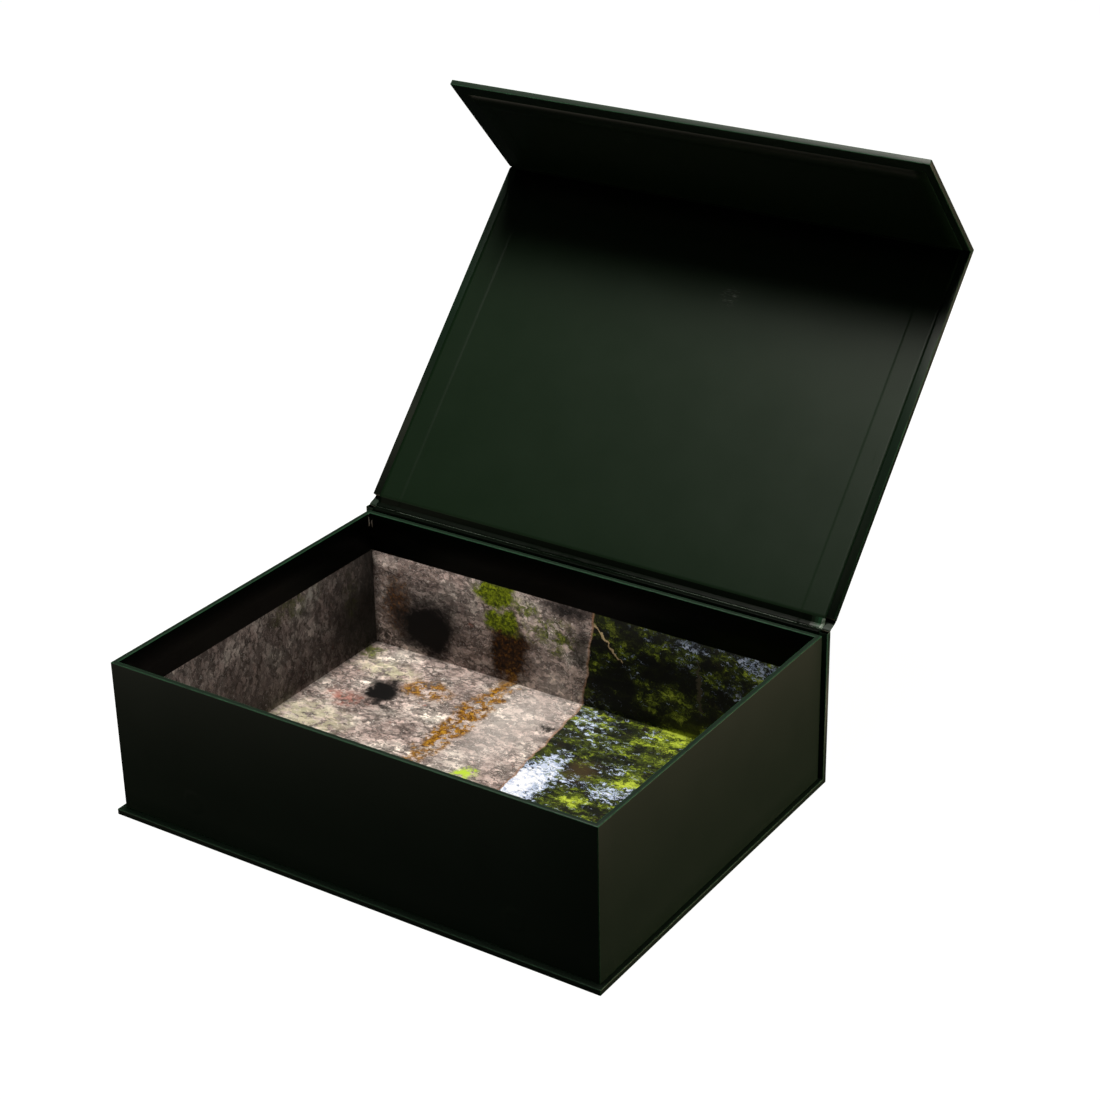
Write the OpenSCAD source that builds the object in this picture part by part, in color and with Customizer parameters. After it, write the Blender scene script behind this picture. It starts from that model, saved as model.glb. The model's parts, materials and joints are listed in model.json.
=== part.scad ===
// Rigid paper-covered box for a jigsaw puzzle. A greyboard tray is glued into a hard case of
// base, spine, lid and front flap, and magnets hold the flap shut against the tray's front wall.
// X runs across the box, Y from front to back and Z up. The origin lies on the underside of the
// case, below the middle of the tray. Every panel of the case is described in its own flat
// frame: X across, Y along the panel and Z from its outer face inwards.

/* [Tray] */
// Width of the tray over its paper
tray_w = 300; // [200:1:400]
// Depth of the tray over its paper, front to back
tray_d = 218; // [150:1:300]
// Height of the tray's rim above the case's base
tray_h = 87.7; // [60:0.1:120]
// Thickness of the tray's greyboard
tray_board_t = 2.5; // [2.2:0.1:3]
// Depth of the wrap paper turned down inside the rim
rim_turn_in = 24; // [10:1:40]
// Width of the wrap paper turned in under the floor
floor_turn_in = 15; // [8:1:25]
// Gap between the picture lining's walls at each corner
lining_slit = 0.3; // [0.1:0.1:1]

/* [Corner stays] */
// Width of each leg of a corner stay
stay_leg = 12; // [8:1:20]
// Thickness of the stay paper, pressed flush into the board
stay_t = 0.15; // [0.1:0.05:0.3]

/* [Case] */
// Thickness of the case's greyboard
case_board_t = 3; // [2.5:0.1:4]
// How far the case stands out beyond each side of the tray
side_overhang = 2.8; // [1:0.1:6]
// How far the base stands out in front of the tray
front_overhang = 3.8; // [2:0.1:6]
// Glue line between the tray's back wall and the spine
glue_gap = 0.8; // [0.1:0.1:1]
// Width of the cover paper turned in along the case's edges
case_turn_in = 20; // [12:0.1:25]
// Margin between the lining and the case's side edges
lining_side_margin = 5; // [2:0.5:8]
// Margin between the lining and the flap's free edge
lining_end_margin = 8; // [2:0.5:10]

/* [Lid and flap] */
// How far the lid stands open, counted from shut
open_angle = 133; // [125:1:140]
// Fold between the lid and the flap, 90 when shut
flap_angle = 85; // [82:1:88]
// Width of the paper gutter between the spine's crease and the lid board
gutter = 6.2; // [5:0.1:8]
// Height of the lid's hinge line above the rim
hinge_rise = 1.7; // [1.5:0.1:2]
// Gap left between the shut lid and the rim
lid_clearance = 0.7; // [0.4:0.1:1]
// Gap left between the shut flap and the tray's front wall
flap_clearance = 1.2; // [0.4:0.1:2]
// Length of the flap from its outer fold to its free edge
flap_len = 90; // [60:0.5:91]

/* [Papers] */
// Thickness of the green cover and wrap paper
cover_t = 0.2; // [0.15:0.05:0.3]
// Thickness of the lining papers
lining_t = 0.2; // [0.15:0.05:0.3]

/* [Magnets] */
// Diameter of a magnet disc
magnet_d = 12; // [8:1:15]
// Thickness of a magnet disc
magnet_t = 2; // [1:0.1:2]
// Distance of each magnet from the middle of the box
magnet_x = 101; // [60:1:120]
// Height of the magnets' centres when the box is shut
magnet_z = 22.4; // [15:0.1:40]

/* [Hidden] */
$fn = 64;

eps = 1;                                         // overrun of a cutting block
panel_reach = 5;                                 // higher than any panel's stack, for mitre cuts
green = "#16301f";
greyboard = "#8f897c";
print_tone = "#7d7766";
tape_tone = "#b59a6b";
nickel = "#b9bbbd";

// Layers of a case panel, counted from its outer face
board_top = cover_t + case_board_t;
turn_in_top = board_top + cover_t;
lining_low_top = board_top + lining_t;
stack_t = turn_in_top + lining_t;

case_w = tray_w + 2 * side_overhang;
base_top = turn_in_top;
rim_z = base_top + tray_h;
spine_y = tray_d / 2 + glue_gap + stack_t;       // the spine's outer face
base_front_y = -tray_d / 2 - front_overhang;
base_len = spine_y - base_front_y;
spine_rise = 1;                                  // the spine board ends just above the rim
spine_len = rim_z + spine_rise;

mitre_gap = 0.42;                                // along the panel, between board and mitre plane
fixed_mitre_gap = 0.05;
fold_slack = 0.04;                               // keeps the fold papers just off the panels
gutter_play = 0.1;                               // the gutter papers stop just short of the board
gutter_end = gutter - gutter_play;
gutter_bow = [1.2, 2.5];                         // how far the gutter's curve leads off at each end
fold_groove = 1.4;                               // depth to which the lining is pushed into the fold

// The lid's hinge axis lies just behind the outer top corner of the spine
hinge_setback = 0.3;
hinge_y = spine_y + hinge_setback;
hinge_z = rim_z + hinge_rise;
hinge_w = stack_t + lid_clearance - hinge_rise;  // from the lid's outer face to the axis
fold_s = hinge_y + tray_d / 2 + flap_clearance + stack_t;
magnet_u = hinge_z + hinge_w - magnet_z;         // along the flap, from its outer fold

// Layers of a tray wall, counted from outside
wall_t = tray_board_t + 2 * cover_t;
board_w = tray_w - 2 * cover_t;
board_d = tray_d - 2 * cover_t;
board_z = base_top + cover_t;                    // underside of the tray's boards
board_h = rim_z - cover_t - board_z;
floor_w = board_w - 2 * tray_board_t;
floor_d = board_d - 2 * tray_board_t;
floor_z = board_z + tray_board_t;
turn_in_z = rim_z - rim_turn_in;
pocket_play = 0.05;
pocket_r = magnet_d / 2 + pocket_play;

// ---- helpers ----

// A block centred on X and Y between two heights
module block(w, d, z0, z1) {
    translate([-w / 2, -d / 2, z0]) cube([w, d, z1 - z0]);
}

// A block of a panel: centred on X, from y0 to y1 along it and from z0 to z1 through it
module slab(w, y0, y1, z0, z1) {
    translate([-w / 2, y0, z0]) cube([w, y1 - y0, z1 - z0]);
}

// Extrudes a (Y, Z) outline along X, centred
module along_x(w) {
    rotate([90, 0, 90]) linear_extrude(height = w, center = true) children();
}

// Unit direction from a to b
function direction(a, b) = (b - a) / norm(b - a);

// The left-hand side of path point i, drawn out so that the strip keeps its thickness in a bend
function left_offset(path, i, t) =
    let (
        before = direction(path[max(i - 1, 0)], path[max(i, 1)]),
        after = direction(path[min(i, len(path) - 2)], path[min(i + 1, len(path) - 1)]),
        n1 = [-before[1], before[0]],
        n2 = [-after[1], after[0]]
    )
    path[i] + t * (n1 + n2) / (1 + n1 * n2);

// A strip of paper of thickness t on the left-hand side of a path
function ribbon(path, t) = concat(
    path,
    [for (i = [len(path) - 1:-1:0]) left_offset(path, i, t)]
);

function bezier(a, b, c, d, t) =
    pow(1 - t, 3) * a + 3 * t * pow(1 - t, 2) * b + 3 * t * t * (1 - t) * c + pow(t, 3) * d;

// A panel's frame placed for the lid, and for the flap on the lid
module lid_pose() {
    translate([0, hinge_y, hinge_z]) rotate([180 - open_angle, 0, 0])
        translate([0, 0, -hinge_w]) children();
}

module flap_pose() {
    lid_pose() translate([0, fold_s, 0]) rotate([flap_angle, 0, 0]) children();
}

// A point of the lid's frame as (Y, Z) of the box
function lid_point(s, w) =
    let (lean = 180 - open_angle)
    [
        hinge_y + s * cos(lean) - (w - hinge_w) * sin(lean),
        hinge_z + s * sin(lean) + (w - hinge_w) * cos(lean)
    ];

// A point of the flap's frame as (Y, Z) of the lid's frame
function flap_point(u, w) =
    [fold_s + u * cos(flap_angle) - w * sin(flap_angle), u * sin(flap_angle) + w * cos(flap_angle)];

// ---- case panels ----

// Keeps what lies inside a panel whose start and end may be mitred at 45 degrees
module mitred(start, end, start_gap = 0, end_gap = 0) {
    intersection() {
        children();
        along_x(case_w + 2 * eps) polygon([
            [start + start_gap, 0],
            [end - end_gap, 0],
            [end - (end_gap > 0 ? end_gap + panel_reach : 0), panel_reach],
            [start + (start_gap > 0 ? start_gap + panel_reach : 0), panel_reach]
        ]);
    }
}

module panel_board(start, end) {
    slab(case_w - 2 * cover_t, start, end, cover_t, board_top);
}

// Cover paper round the board, turned in at the sides and, on request, at either end
module panel_cover(start, end, turned_start = false, turned_end = false) {
    cut_start = turned_start ? start + cover_t : start - eps;
    cut_end = turned_end ? end - cover_t : end + eps;
    bare_start = turned_start ? start + case_turn_in : start - eps;
    bare_end = turned_end ? end - case_turn_in : end + eps;
    difference() {
        slab(case_w, start, end, 0, turn_in_top);
        slab(case_w - 2 * cover_t, cut_start, cut_end, cover_t, board_top);
        slab(case_w - 2 * case_turn_in, bare_start, bare_end, board_top - eps / 2, turn_in_top + eps);
    }
}

// Lining paper: flat on the board in the middle, stepped up over the turned-in cover
module panel_lining(start, end, turned_end = false) {
    lining_end = turned_end ? end - lining_end_margin : end;
    step_end = turned_end ? end - case_turn_in : end + eps;
    difference() {
        slab(case_w - 2 * lining_side_margin, start, lining_end, board_top, stack_t);
        difference() {
            slab(case_w, start - eps, end + eps, board_top - eps, turn_in_top);
            slab(case_w - 2 * case_turn_in, start - 2 * eps, step_end, board_top - 2 * eps, stack_t);
        }
        slab(
            case_w - 2 * case_turn_in - 2 * lining_t,
            start - eps, step_end - (turned_end ? lining_t : 0), lining_low_top, stack_t + eps
        );
    }
}

// ---- base and spine ----

module base_pose() {
    translate([0, base_front_y, 0]) children();
}

module spine_pose() {
    translate([0, spine_y, 0]) rotate([90, 0, 0]) children();
}

module base_board() {
    color(greyboard) base_pose() mitred(0, base_len, 0, fixed_mitre_gap)
        panel_board(cover_t, base_len);
}

module base_cover_paper() {
    color(green) base_pose() mitred(0, base_len, 0, fixed_mitre_gap / 10)
        panel_cover(0, base_len, turned_start = true);
}

module spine_board() {
    color(greyboard) spine_pose() mitred(0, spine_len, fixed_mitre_gap, 0)
        panel_board(0, spine_len);
}

module spine_cover_paper() {
    color(green) spine_pose() mitred(0, spine_len, fixed_mitre_gap / 10, 0)
        panel_cover(0, spine_len);
}

module spine_lining_paper() {
    color(green) spine_pose() panel_lining(base_top + cover_t, spine_len);
}

// ---- tray ----

module magnet_pair_cut(y, z, depth) {
    for (side = [-1, 1])
        translate([side * magnet_x, y, z]) rotate([90, 0, 0])
            cylinder(r = pocket_r, h = depth, center = true);
}

// The four stays as they lie on the boards' corners, for the boards to be pressed by
module stay(side_x, side_y) {
    difference() {
        translate([side_x * (board_w - stay_leg) / 2, side_y * (board_d - stay_leg) / 2, 0])
            block(stay_leg, stay_leg, board_z, board_z + board_h);
        block(board_w - 2 * stay_t, board_d - 2 * stay_t, board_z - eps, board_z + board_h + eps);
    }
}

module pressed_by_stays() {
    difference() {
        children();
        for (side_x = [-1, 1], side_y = [-1, 1]) stay(side_x, side_y);
    }
}

module tray_floor_board() {
    color(greyboard) block(floor_w, floor_d, board_z, floor_z);
}

module long_wall(side) {
    translate([0, side * (board_d - tray_board_t) / 2, 0])
        block(board_w, tray_board_t, board_z, board_z + board_h);
}

module short_wall(side) {
    translate([side * (board_w - tray_board_t) / 2, 0, 0])
        block(tray_board_t, floor_d, board_z, board_z + board_h);
}

module tray_front_board() {
    color(greyboard) difference() {
        pressed_by_stays() long_wall(-1);
        magnet_pair_cut(-board_d / 2, magnet_z, 2 * magnet_t);
    }
}

module tray_back_board() {
    color(greyboard) pressed_by_stays() long_wall(1);
}

module tray_side_board(side) {
    color(greyboard) pressed_by_stays() short_wall(side);
}

module corner_stay(side_x, side_y) {
    color(tape_tone) stay(side_x, side_y);
}

// One sheet: round the outside, over the rim, down inside, and in under the floor
module tray_wrap_paper() {
    color(green) {
        difference() {
            block(tray_w, tray_d, base_top, rim_z);
            block(board_w, board_d, board_z, rim_z - cover_t);
            block(tray_w - 2 * wall_t, tray_d - 2 * wall_t, turn_in_z, rim_z + eps);
            block(
                tray_w - 2 * floor_turn_in, tray_d - 2 * floor_turn_in,
                base_top - eps, board_z + eps
            );
        }
        difference() {
            block(floor_w, floor_d, turn_in_z, rim_z - cover_t);
            block(tray_w - 2 * wall_t, tray_d - 2 * wall_t, turn_in_z - eps, rim_z);
        }
    }
}

// Printed sheet cut as a cross: the floor and four walls, slit at the corners
module picture_lining() {
    inner_w = floor_w - 2 * lining_t;
    inner_d = floor_d - 2 * lining_t;
    slit = lining_t + lining_slit;
    color(print_tone) difference() {
        block(floor_w, floor_d, floor_z, turn_in_z);
        block(inner_w, inner_d, floor_z + lining_t, turn_in_z + eps);
        for (side_x = [-1, 1], side_y = [-1, 1])
            translate([side_x * (floor_w - slit) / 2, side_y * (floor_d - slit) / 2, 0])
                block(slit, slit, floor_z + lining_t, turn_in_z + eps);
    }
}

module tray_magnet(side) {
    color(nickel) translate([side * magnet_x, -board_d / 2 + magnet_t / 2, magnet_z])
        rotate([90, 0, 0]) cylinder(d = magnet_d, h = magnet_t, center = true);
}

// ---- lid ----

module lid_board() {
    color(greyboard) lid_pose() mitred(gutter, fold_s, 0, mitre_gap)
        panel_board(gutter, fold_s);
}

module lid_cover_paper() {
    color(green) lid_pose() mitred(gutter, fold_s, 0, mitre_gap)
        panel_cover(gutter, fold_s);
}

module lid_lining_paper() {
    color(green) lid_pose() mitred(gutter - lining_t, fold_s, 0, mitre_gap)
        panel_lining(gutter - lining_t, fold_s);
}

// Outer face of the gutter: from the spine's top corner to the lid's outer face
function gutter_path() =
    let (
        a = [spine_y, spine_len],
        d = lid_point(gutter_end, 0),
        b = a + [0, gutter_bow[0]],
        c = lid_point(gutter_end - gutter_bow[1], 0)
    )
    [for (i = [0:10]) bezier(a, b, c, d, i / 10)];

// The same path as it lies on the inner face of the cover paper
function gutter_inner_path() =
    let (outer = gutter_path())
    [for (i = [0:len(outer) - 1]) left_offset(outer, i, cover_t)];

module lid_hinge_cover_paper() {
    color(green) along_x(case_w) polygon(concat(
        gutter_path(),
        [for (i = [10:-1:0]) gutter_inner_path()[i]]
    ));
}

// Lies on the spine's top edge, along the cover paper and up the lid board's edge
module lid_hinge_lining_paper() {
    path = concat(
        [[spine_y - lining_low_top, spine_len]],
        gutter_inner_path(),
        [lid_point(gutter_end, board_top)]
    );
    color(green) along_x(case_w - 2 * lining_side_margin) polygon(ribbon(path, lining_t));
}

// ---- flap ----

module flap_board() {
    color(greyboard) flap_pose() difference() {
        mitred(0, flap_len, mitre_gap, 0) panel_board(0, flap_len - cover_t);
        for (side = [-1, 1])
            translate([side * magnet_x, magnet_u, board_top - magnet_t])
                cylinder(r = pocket_r, h = magnet_t + eps);
    }
}

module flap_cover_paper() {
    color(green) flap_pose() mitred(0, flap_len, mitre_gap, 0)
        panel_cover(0, flap_len, turned_end = true);
}

module flap_lining_paper() {
    color(green) flap_pose() mitred(0, flap_len, mitre_gap, 0)
        panel_lining(0, flap_len, turned_end = true);
}

// Cover paper round the outer corner of the fold
module flap_hinge_cover_paper() {
    leg = mitre_gap - fold_slack;
    inner_leg = leg + cover_t;
    color(green) lid_pose() along_x(case_w) polygon([
        [fold_s - leg, 0],
        [fold_s, 0],
        flap_point(leg, 0),
        flap_point(inner_leg, cover_t),
        [fold_s - cover_t * tan(flap_angle / 2), cover_t],
        [fold_s - inner_leg, cover_t]
    ]);
}

// Lining paper pushed into the groove between the two mitred boards
module flap_hinge_lining_paper() {
    gap = mitre_gap - fold_slack;
    deep = board_top - fold_groove;
    path = [
        [fold_s - gap - board_top, board_top],
        [fold_s - gap - deep, deep],
        flap_point(gap + deep, deep),
        flap_point(gap + board_top, board_top)
    ];
    color(green) lid_pose() along_x(case_w - 2 * lining_side_margin) polygon(ribbon(path, lining_t));
}

module flap_magnet(side) {
    color(nickel) flap_pose() translate([side * magnet_x, magnet_u, board_top - magnet_t])
        cylinder(d = magnet_d, h = magnet_t);
}

base_board();
base_cover_paper();
spine_board();
spine_cover_paper();
spine_lining_paper();
tray_floor_board();
tray_front_board();
tray_back_board();
tray_side_board(-1);  // tray_left_board
tray_side_board(1);  // tray_right_board
corner_stay(-1, -1);  // corner_stay_front_left
corner_stay(1, -1);  // corner_stay_front_right
corner_stay(-1, 1);  // corner_stay_back_left
corner_stay(1, 1);  // corner_stay_back_right
tray_wrap_paper();
picture_lining();
tray_magnet(-1);  // tray_magnet_left
tray_magnet(1);  // tray_magnet_right
lid_board();
lid_cover_paper();
lid_lining_paper();
lid_hinge_cover_paper();
lid_hinge_lining_paper();
flap_board();
flap_cover_paper();
flap_lining_paper();
flap_hinge_cover_paper();
flap_hinge_lining_paper();
flap_magnet(-1);  // flap_magnet_left
flap_magnet(1);  // flap_magnet_right
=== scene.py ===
"""Papers, print, board and studio for a rigid book-style box with a magnetic front flap.

The box is glued up from greyboard. Dark green paper wraps the tray and the case, a second green
paper lines the lid and the flap, and a printed sheet lines the inside of the tray. Each paper is
made as a real sheet: cut, folded round its board, and then given its thickness.
"""

import json
import math

import bmesh
import bpy
from mathutils import Matrix, Vector, noise


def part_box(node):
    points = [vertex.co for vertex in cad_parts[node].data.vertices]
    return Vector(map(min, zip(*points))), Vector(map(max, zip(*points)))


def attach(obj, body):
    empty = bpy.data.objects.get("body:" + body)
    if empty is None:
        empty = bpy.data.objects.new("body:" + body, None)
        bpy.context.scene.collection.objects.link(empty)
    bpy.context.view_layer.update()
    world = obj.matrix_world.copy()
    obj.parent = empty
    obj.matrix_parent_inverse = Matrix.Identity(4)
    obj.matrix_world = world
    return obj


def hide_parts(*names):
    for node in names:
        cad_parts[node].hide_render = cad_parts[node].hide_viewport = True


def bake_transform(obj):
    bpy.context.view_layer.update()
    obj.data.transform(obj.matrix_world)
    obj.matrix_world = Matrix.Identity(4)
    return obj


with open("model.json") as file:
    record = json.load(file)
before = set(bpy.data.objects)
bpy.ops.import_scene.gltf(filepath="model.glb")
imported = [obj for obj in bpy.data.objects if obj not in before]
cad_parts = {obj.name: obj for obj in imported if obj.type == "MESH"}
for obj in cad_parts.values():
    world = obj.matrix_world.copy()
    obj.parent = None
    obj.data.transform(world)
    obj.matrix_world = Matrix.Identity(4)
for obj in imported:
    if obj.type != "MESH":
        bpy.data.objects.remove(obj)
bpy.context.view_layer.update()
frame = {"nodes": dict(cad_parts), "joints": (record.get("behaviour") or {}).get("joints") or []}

bl_info = {
    "name": "Rigid book-style box",
    "version": (1, 0, 0),
    "blender": (4, 5, 0),
    "location": "3D View > Sidebar > Box",
    "description": "Covers, linings and print of a rigid paper-covered box",
    "category": "Object",
}

MM = 0.001
RANGE = "ShaderNodeMapRange"

# ---- places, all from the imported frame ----

joints = {joint["name"]: joint for joint in frame["joints"]}
HINGE = Vector(joints["lid_hinge"]["pos_m"])
FOLD = Vector(joints["flap_hinge"]["pos_m"])
LID_LEAN = math.pi + math.radians(joints["lid_hinge"]["range_deg"][0])
FLAP_ANGLE = math.radians(joints["flap_hinge"]["range_deg"][1])
LID_UP = Matrix.Rotation(LID_LEAN, 3, "X") @ Vector((0, 1, 0))
LID_IN = Matrix.Rotation(LID_LEAN, 3, "X") @ Vector((0, 0, 1))
FOLD_S = (FOLD - HINGE).dot(LID_UP)

# A panel's own frame: X across, Y along the panel, Z from its outer face inwards
LID_FRAME = (
    Matrix.Translation(HINGE)
    @ Matrix.Rotation(LID_LEAN, 4, "X")
    @ Matrix.Translation((0, 0, (FOLD - HINGE).dot(LID_IN)))
)
FLAP_ON_LID = Matrix.Translation((0, FOLD_S, 0)) @ Matrix.Rotation(FLAP_ANGLE, 4, "X")


def panel_box(node, panel):
    """Lowest and highest corner of a CAD node in a panel's own frame."""
    back = panel.inverted()
    corners = [back @ v.co for v in frame["nodes"][node].data.vertices]
    return (
        Vector(min(c[i] for c in corners) for i in range(3)),
        Vector(max(c[i] for c in corners) for i in range(3)),
    )


CASE_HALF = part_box("base_cover_paper")[1].x
PANEL_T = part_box("base_cover_paper")[1].z
SPINE_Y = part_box("spine_cover_paper")[1].y
SPINE_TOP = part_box("spine_cover_paper")[1].z
BASE_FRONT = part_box("base_cover_paper")[0].y
GUTTER = panel_box("lid_cover_paper", LID_FRAME)[0].y
FLAP_LEN = panel_box("flap_cover_paper", LID_FRAME @ FLAP_ON_LID)[1].y
LINING_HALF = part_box("lid_lining_paper")[1].x
FLAP_LINING_END = panel_box("flap_lining_paper", LID_FRAME @ FLAP_ON_LID)[1].y
TRAY_LOW, TRAY_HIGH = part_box("tray_wrap_paper")
PICTURE_LOW, PICTURE_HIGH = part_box("picture_lining")


# ---- sizes and colours that a user would change ----


def linear(hex_colour):
    """An sRGB hex colour as linear RGBA."""
    parts = [int(hex_colour[i:i + 2], 16) / 255 for i in (0, 2, 4)]
    return [c / 12.92 if c <= 0.04045 else ((c + 0.055) / 1.055) ** 2.4 for c in parts] + [1.0]


def length(name, description, millimetres):
    return bpy.props.FloatProperty(
        name=name, description=description, default=millimetres * MM, min=0, unit="LENGTH", precision=5
    )


def colour(name, description, hex_colour):
    return bpy.props.FloatVectorProperty(
        name=name, description=description, default=linear(hex_colour), size=4, min=0, max=1,
        subtype="COLOR",
    )


class BoxSizes(bpy.types.PropertyGroup):
    """Sizes of the papers and their folds"""

    paper_t: length("Paper thickness", "Thickness of every paper", 0.2)
    edge_round: length("Edge rounding", "Radius of the paper round a board's edge", 0.45)
    turn_in: length("Turn-in", "Width of cover paper turned in over the inner face", 20)
    step: length("Step", "Width over which the lining steps up on a turn-in", 1.5)
    overlap: length("Overlap", "Width of the wrap's overlap next to each corner of the tray", 14)
    magnet_r: length("Magnet radius", "Radius of the discs that press through the paper", 6)
    magnet_show: length("Magnet height", "How far a disc lifts the paper", 0.12)
    tent: length("Gutter slant", "Distance before the lid board at which the lining starts to rise", 4.2)
    groove: length("Fold groove", "Depth to which paper is pushed into the flap's fold", 1.4)
    wrinkle: length("Wrinkle", "Height of the wrinkles in the gutter", 0.35)


class BoxColours(bpy.types.PropertyGroup):
    """Colours of the papers, boards and metal"""

    cover: colour("Cover paper", "Dyed paper outside", "112216")
    lining: colour("Lining paper", "Dyed paper inside the lid", "0c1d0d")
    worn: colour("Worn edge", "Colour where an edge is rubbed", "2c583c")
    bare: colour("Bare fibre", "Colour where the dye has cracked off", "c9cec6")
    board: colour("Greyboard", "Raw pulp board", "8f897c")
    stay: colour("Stay tape", "Gummed kraft tape", "b59a6b")
    nickel: colour("Nickel", "Plating on the magnets", "c3c4c2")
    floor: colour("Floor", "Studio floor", "fbfbfa")


# ---- mesh helpers ----

SQUARE_WITHIN = 0.3  # how far from a right angle an edge may be and still be eased, in radians
CUT_SNAP = 0.0001 * MM  # a corner this near a cut lies on it
PAINTED_SHADE_DULL_BELOW = -0.5  # below this value the paper, deep in its painted shade, has its dull finish
NEAR = MM / 10  # two places nearer than this are the same


def prism(corners, panels, half_width):
    """A closed body: panels that share mitred corners, (Y, Z) points each, pushed out along X."""
    bm = bmesh.new()
    verts = [bm.verts.new((-half_width, y, z)) for y, z in corners]
    faces = [bm.faces.new([verts[i] for i in panel]) for panel in panels]
    made = bmesh.ops.extrude_face_region(bm, geom=faces)["geom"]
    far = verts_of(made)
    bmesh.ops.translate(bm, vec=(2 * half_width, 0, 0), verts=far)
    bmesh.ops.recalc_face_normals(bm, faces=bm.faces)
    return bm


def verts_of(made):
    """The corners among what an operator has made."""
    return [v for v in made if isinstance(v, bmesh.types.BMVert)]


def cut(bm, place, normal):
    """Cuts the whole mesh along a plane and keeps both halves."""
    geom = bm.verts[:] + bm.edges[:] + bm.faces[:]
    bmesh.ops.bisect_plane(bm, geom=geom, plane_co=place, plane_no=normal, dist=CUT_SNAP)


def remove_faces(bm, unwanted):
    """Deletes the faces whose middle passes the test, with what hangs on them alone."""
    bm.normal_update()
    found = [f for f in bm.faces if unwanted(f.calc_center_median(), f.normal)]
    bmesh.ops.delete(bm, geom=found, context="FACES")


def ease_edges(bm, radius, wear):
    """Rounds the square outward edges, and marks the new strips as worn."""
    bm.normal_update()
    square = [
        e for e in bm.edges
        if e.is_manifold and abs(e.calc_face_angle_signed() - math.pi / 2) < SQUARE_WITHIN
    ]
    made = bmesh.ops.bevel(
        bm, geom=square, offset=radius, offset_type="OFFSET", affect="EDGES",
        segments=4, profile=0.5, material=-1, clamp_overlap=True,
    )
    for face in made["faces"]:
        face[wear] = 1.0


def flat_sheet(half_width, end, x_cuts, y_cuts):
    """A flat sheet from Y = 0 to end, cut across at the given places."""
    bm = bmesh.new()
    bmesh.ops.create_grid(bm, x_segments=1, y_segments=1, size=0.5)
    bmesh.ops.scale(bm, vec=(2 * half_width, end, 1), verts=bm.verts)
    bmesh.ops.translate(bm, vec=(0, end / 2, 0), verts=bm.verts)
    for x in x_cuts:
        cut(bm, (x, 0, 0), (1, 0, 0))
    for y in y_cuts:
        cut(bm, (0, y, 0), (0, 1, 0))
    return bm


def spread(first, last, count):
    """Evenly spaced values with both ends left out."""
    return [first + (last - first) * i / count for i in range(1, count)]


def smooth(t):
    t = min(max(t, 0.0), 1.0)
    return t * t * (3 - 2 * t)


def rounded(points, radius, steps=5):
    """A path of (Y, Z) points with its inner corners replaced by short curves."""
    path = [Vector(points[0])]
    for before, corner, after in zip(points, points[1:], points[2:]):
        corner = Vector(corner)
        to_before, to_after = Vector(before) - corner, Vector(after) - corner
        reach = min(radius, to_before.length * 0.45, to_after.length * 0.45)
        a, b = corner + to_before.normalized() * reach, corner + to_after.normalized() * reach
        for i in range(steps + 1):
            t = i / steps
            path.append(a * (1 - t) ** 2 + corner * 2 * t * (1 - t) + b * t ** 2)
    path.append(Vector(points[-1]))
    return path


def arc_lengths(path):
    total = [0.0]
    for a, b in zip(path, path[1:]):
        total.append(total[-1] + (b - a).length)
    return total


def lay_on(bm, path, lift):
    """Bends a flat sheet onto a path. lift(x, s) raises it above the path at that place."""
    lengths = arc_lengths(path)
    for v in bm.verts:
        x, s = v.co.x, min(max(v.co.y, 0.0), lengths[-1])
        i = next((k for k in range(1, len(path) - 1) if lengths[k] > s), len(path) - 1)
        step = lengths[i] - lengths[i - 1]
        t = (s - lengths[i - 1]) / step
        here = path[i - 1].lerp(path[i], t)
        before = (path[i] - path[max(i - 2, 0)]).normalized()
        after = (path[min(i + 1, len(path) - 1)] - path[i - 1]).normalized()
        along = before.lerp(after, t).normalized()
        rise = lift(x, s)
        v.co = (x, here.x - along.y * rise, here.y + along.x * rise)


def unwrap(bm, name, place_of):
    """Writes a UV map in metres. place_of(position, face normal) gives a corner's (U, V)."""
    layer = bm.loops.layers.uv.new(name)
    for face in bm.faces:
        for loop in face.loops:
            loop[layer].uv = place_of(loop.vert.co, face.normal)


def by_side(co, normal):
    """Unwraps a box-like paper: each side is seen straight on."""
    if abs(normal.x) > max(abs(normal.y), abs(normal.z)):
        return (co.y, co.z)
    return (co.x, co.y) if abs(normal.z) > abs(normal.y) else (co.x, co.z)


def paper_piece(bm, name, materials, thickness, rim=0, even=True):
    """Turns a mesh into a piece of paper of real thickness below its visible face. materials are
    its finish and its cut edge's, then, if it has such a part, those of its part deepest in painted shade."""
    mesh = bpy.data.meshes.new(name)
    bm.to_mesh(mesh)
    bm.free()
    piece = bpy.data.objects.new(name, mesh)
    bpy.context.scene.collection.objects.link(piece)
    for material in materials:
        mesh.materials.append(material)
    for polygon in mesh.polygons:
        polygon.use_smooth = True
        if len(materials) > 2 and mesh.attributes["wear"].data[polygon.index].value < PAINTED_SHADE_DULL_BELOW:
            polygon.material_index = 2
    mesh.set_sharp_from_angle(angle=math.radians(40))
    solid = piece.modifiers.new("Paper thickness", "SOLIDIFY")
    solid.thickness = thickness
    solid.offset = -1
    solid.use_even_offset = even
    solid.use_quality_normals = True
    solid.material_offset_rim = rim
    return piece


# ---- materials ----


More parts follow.
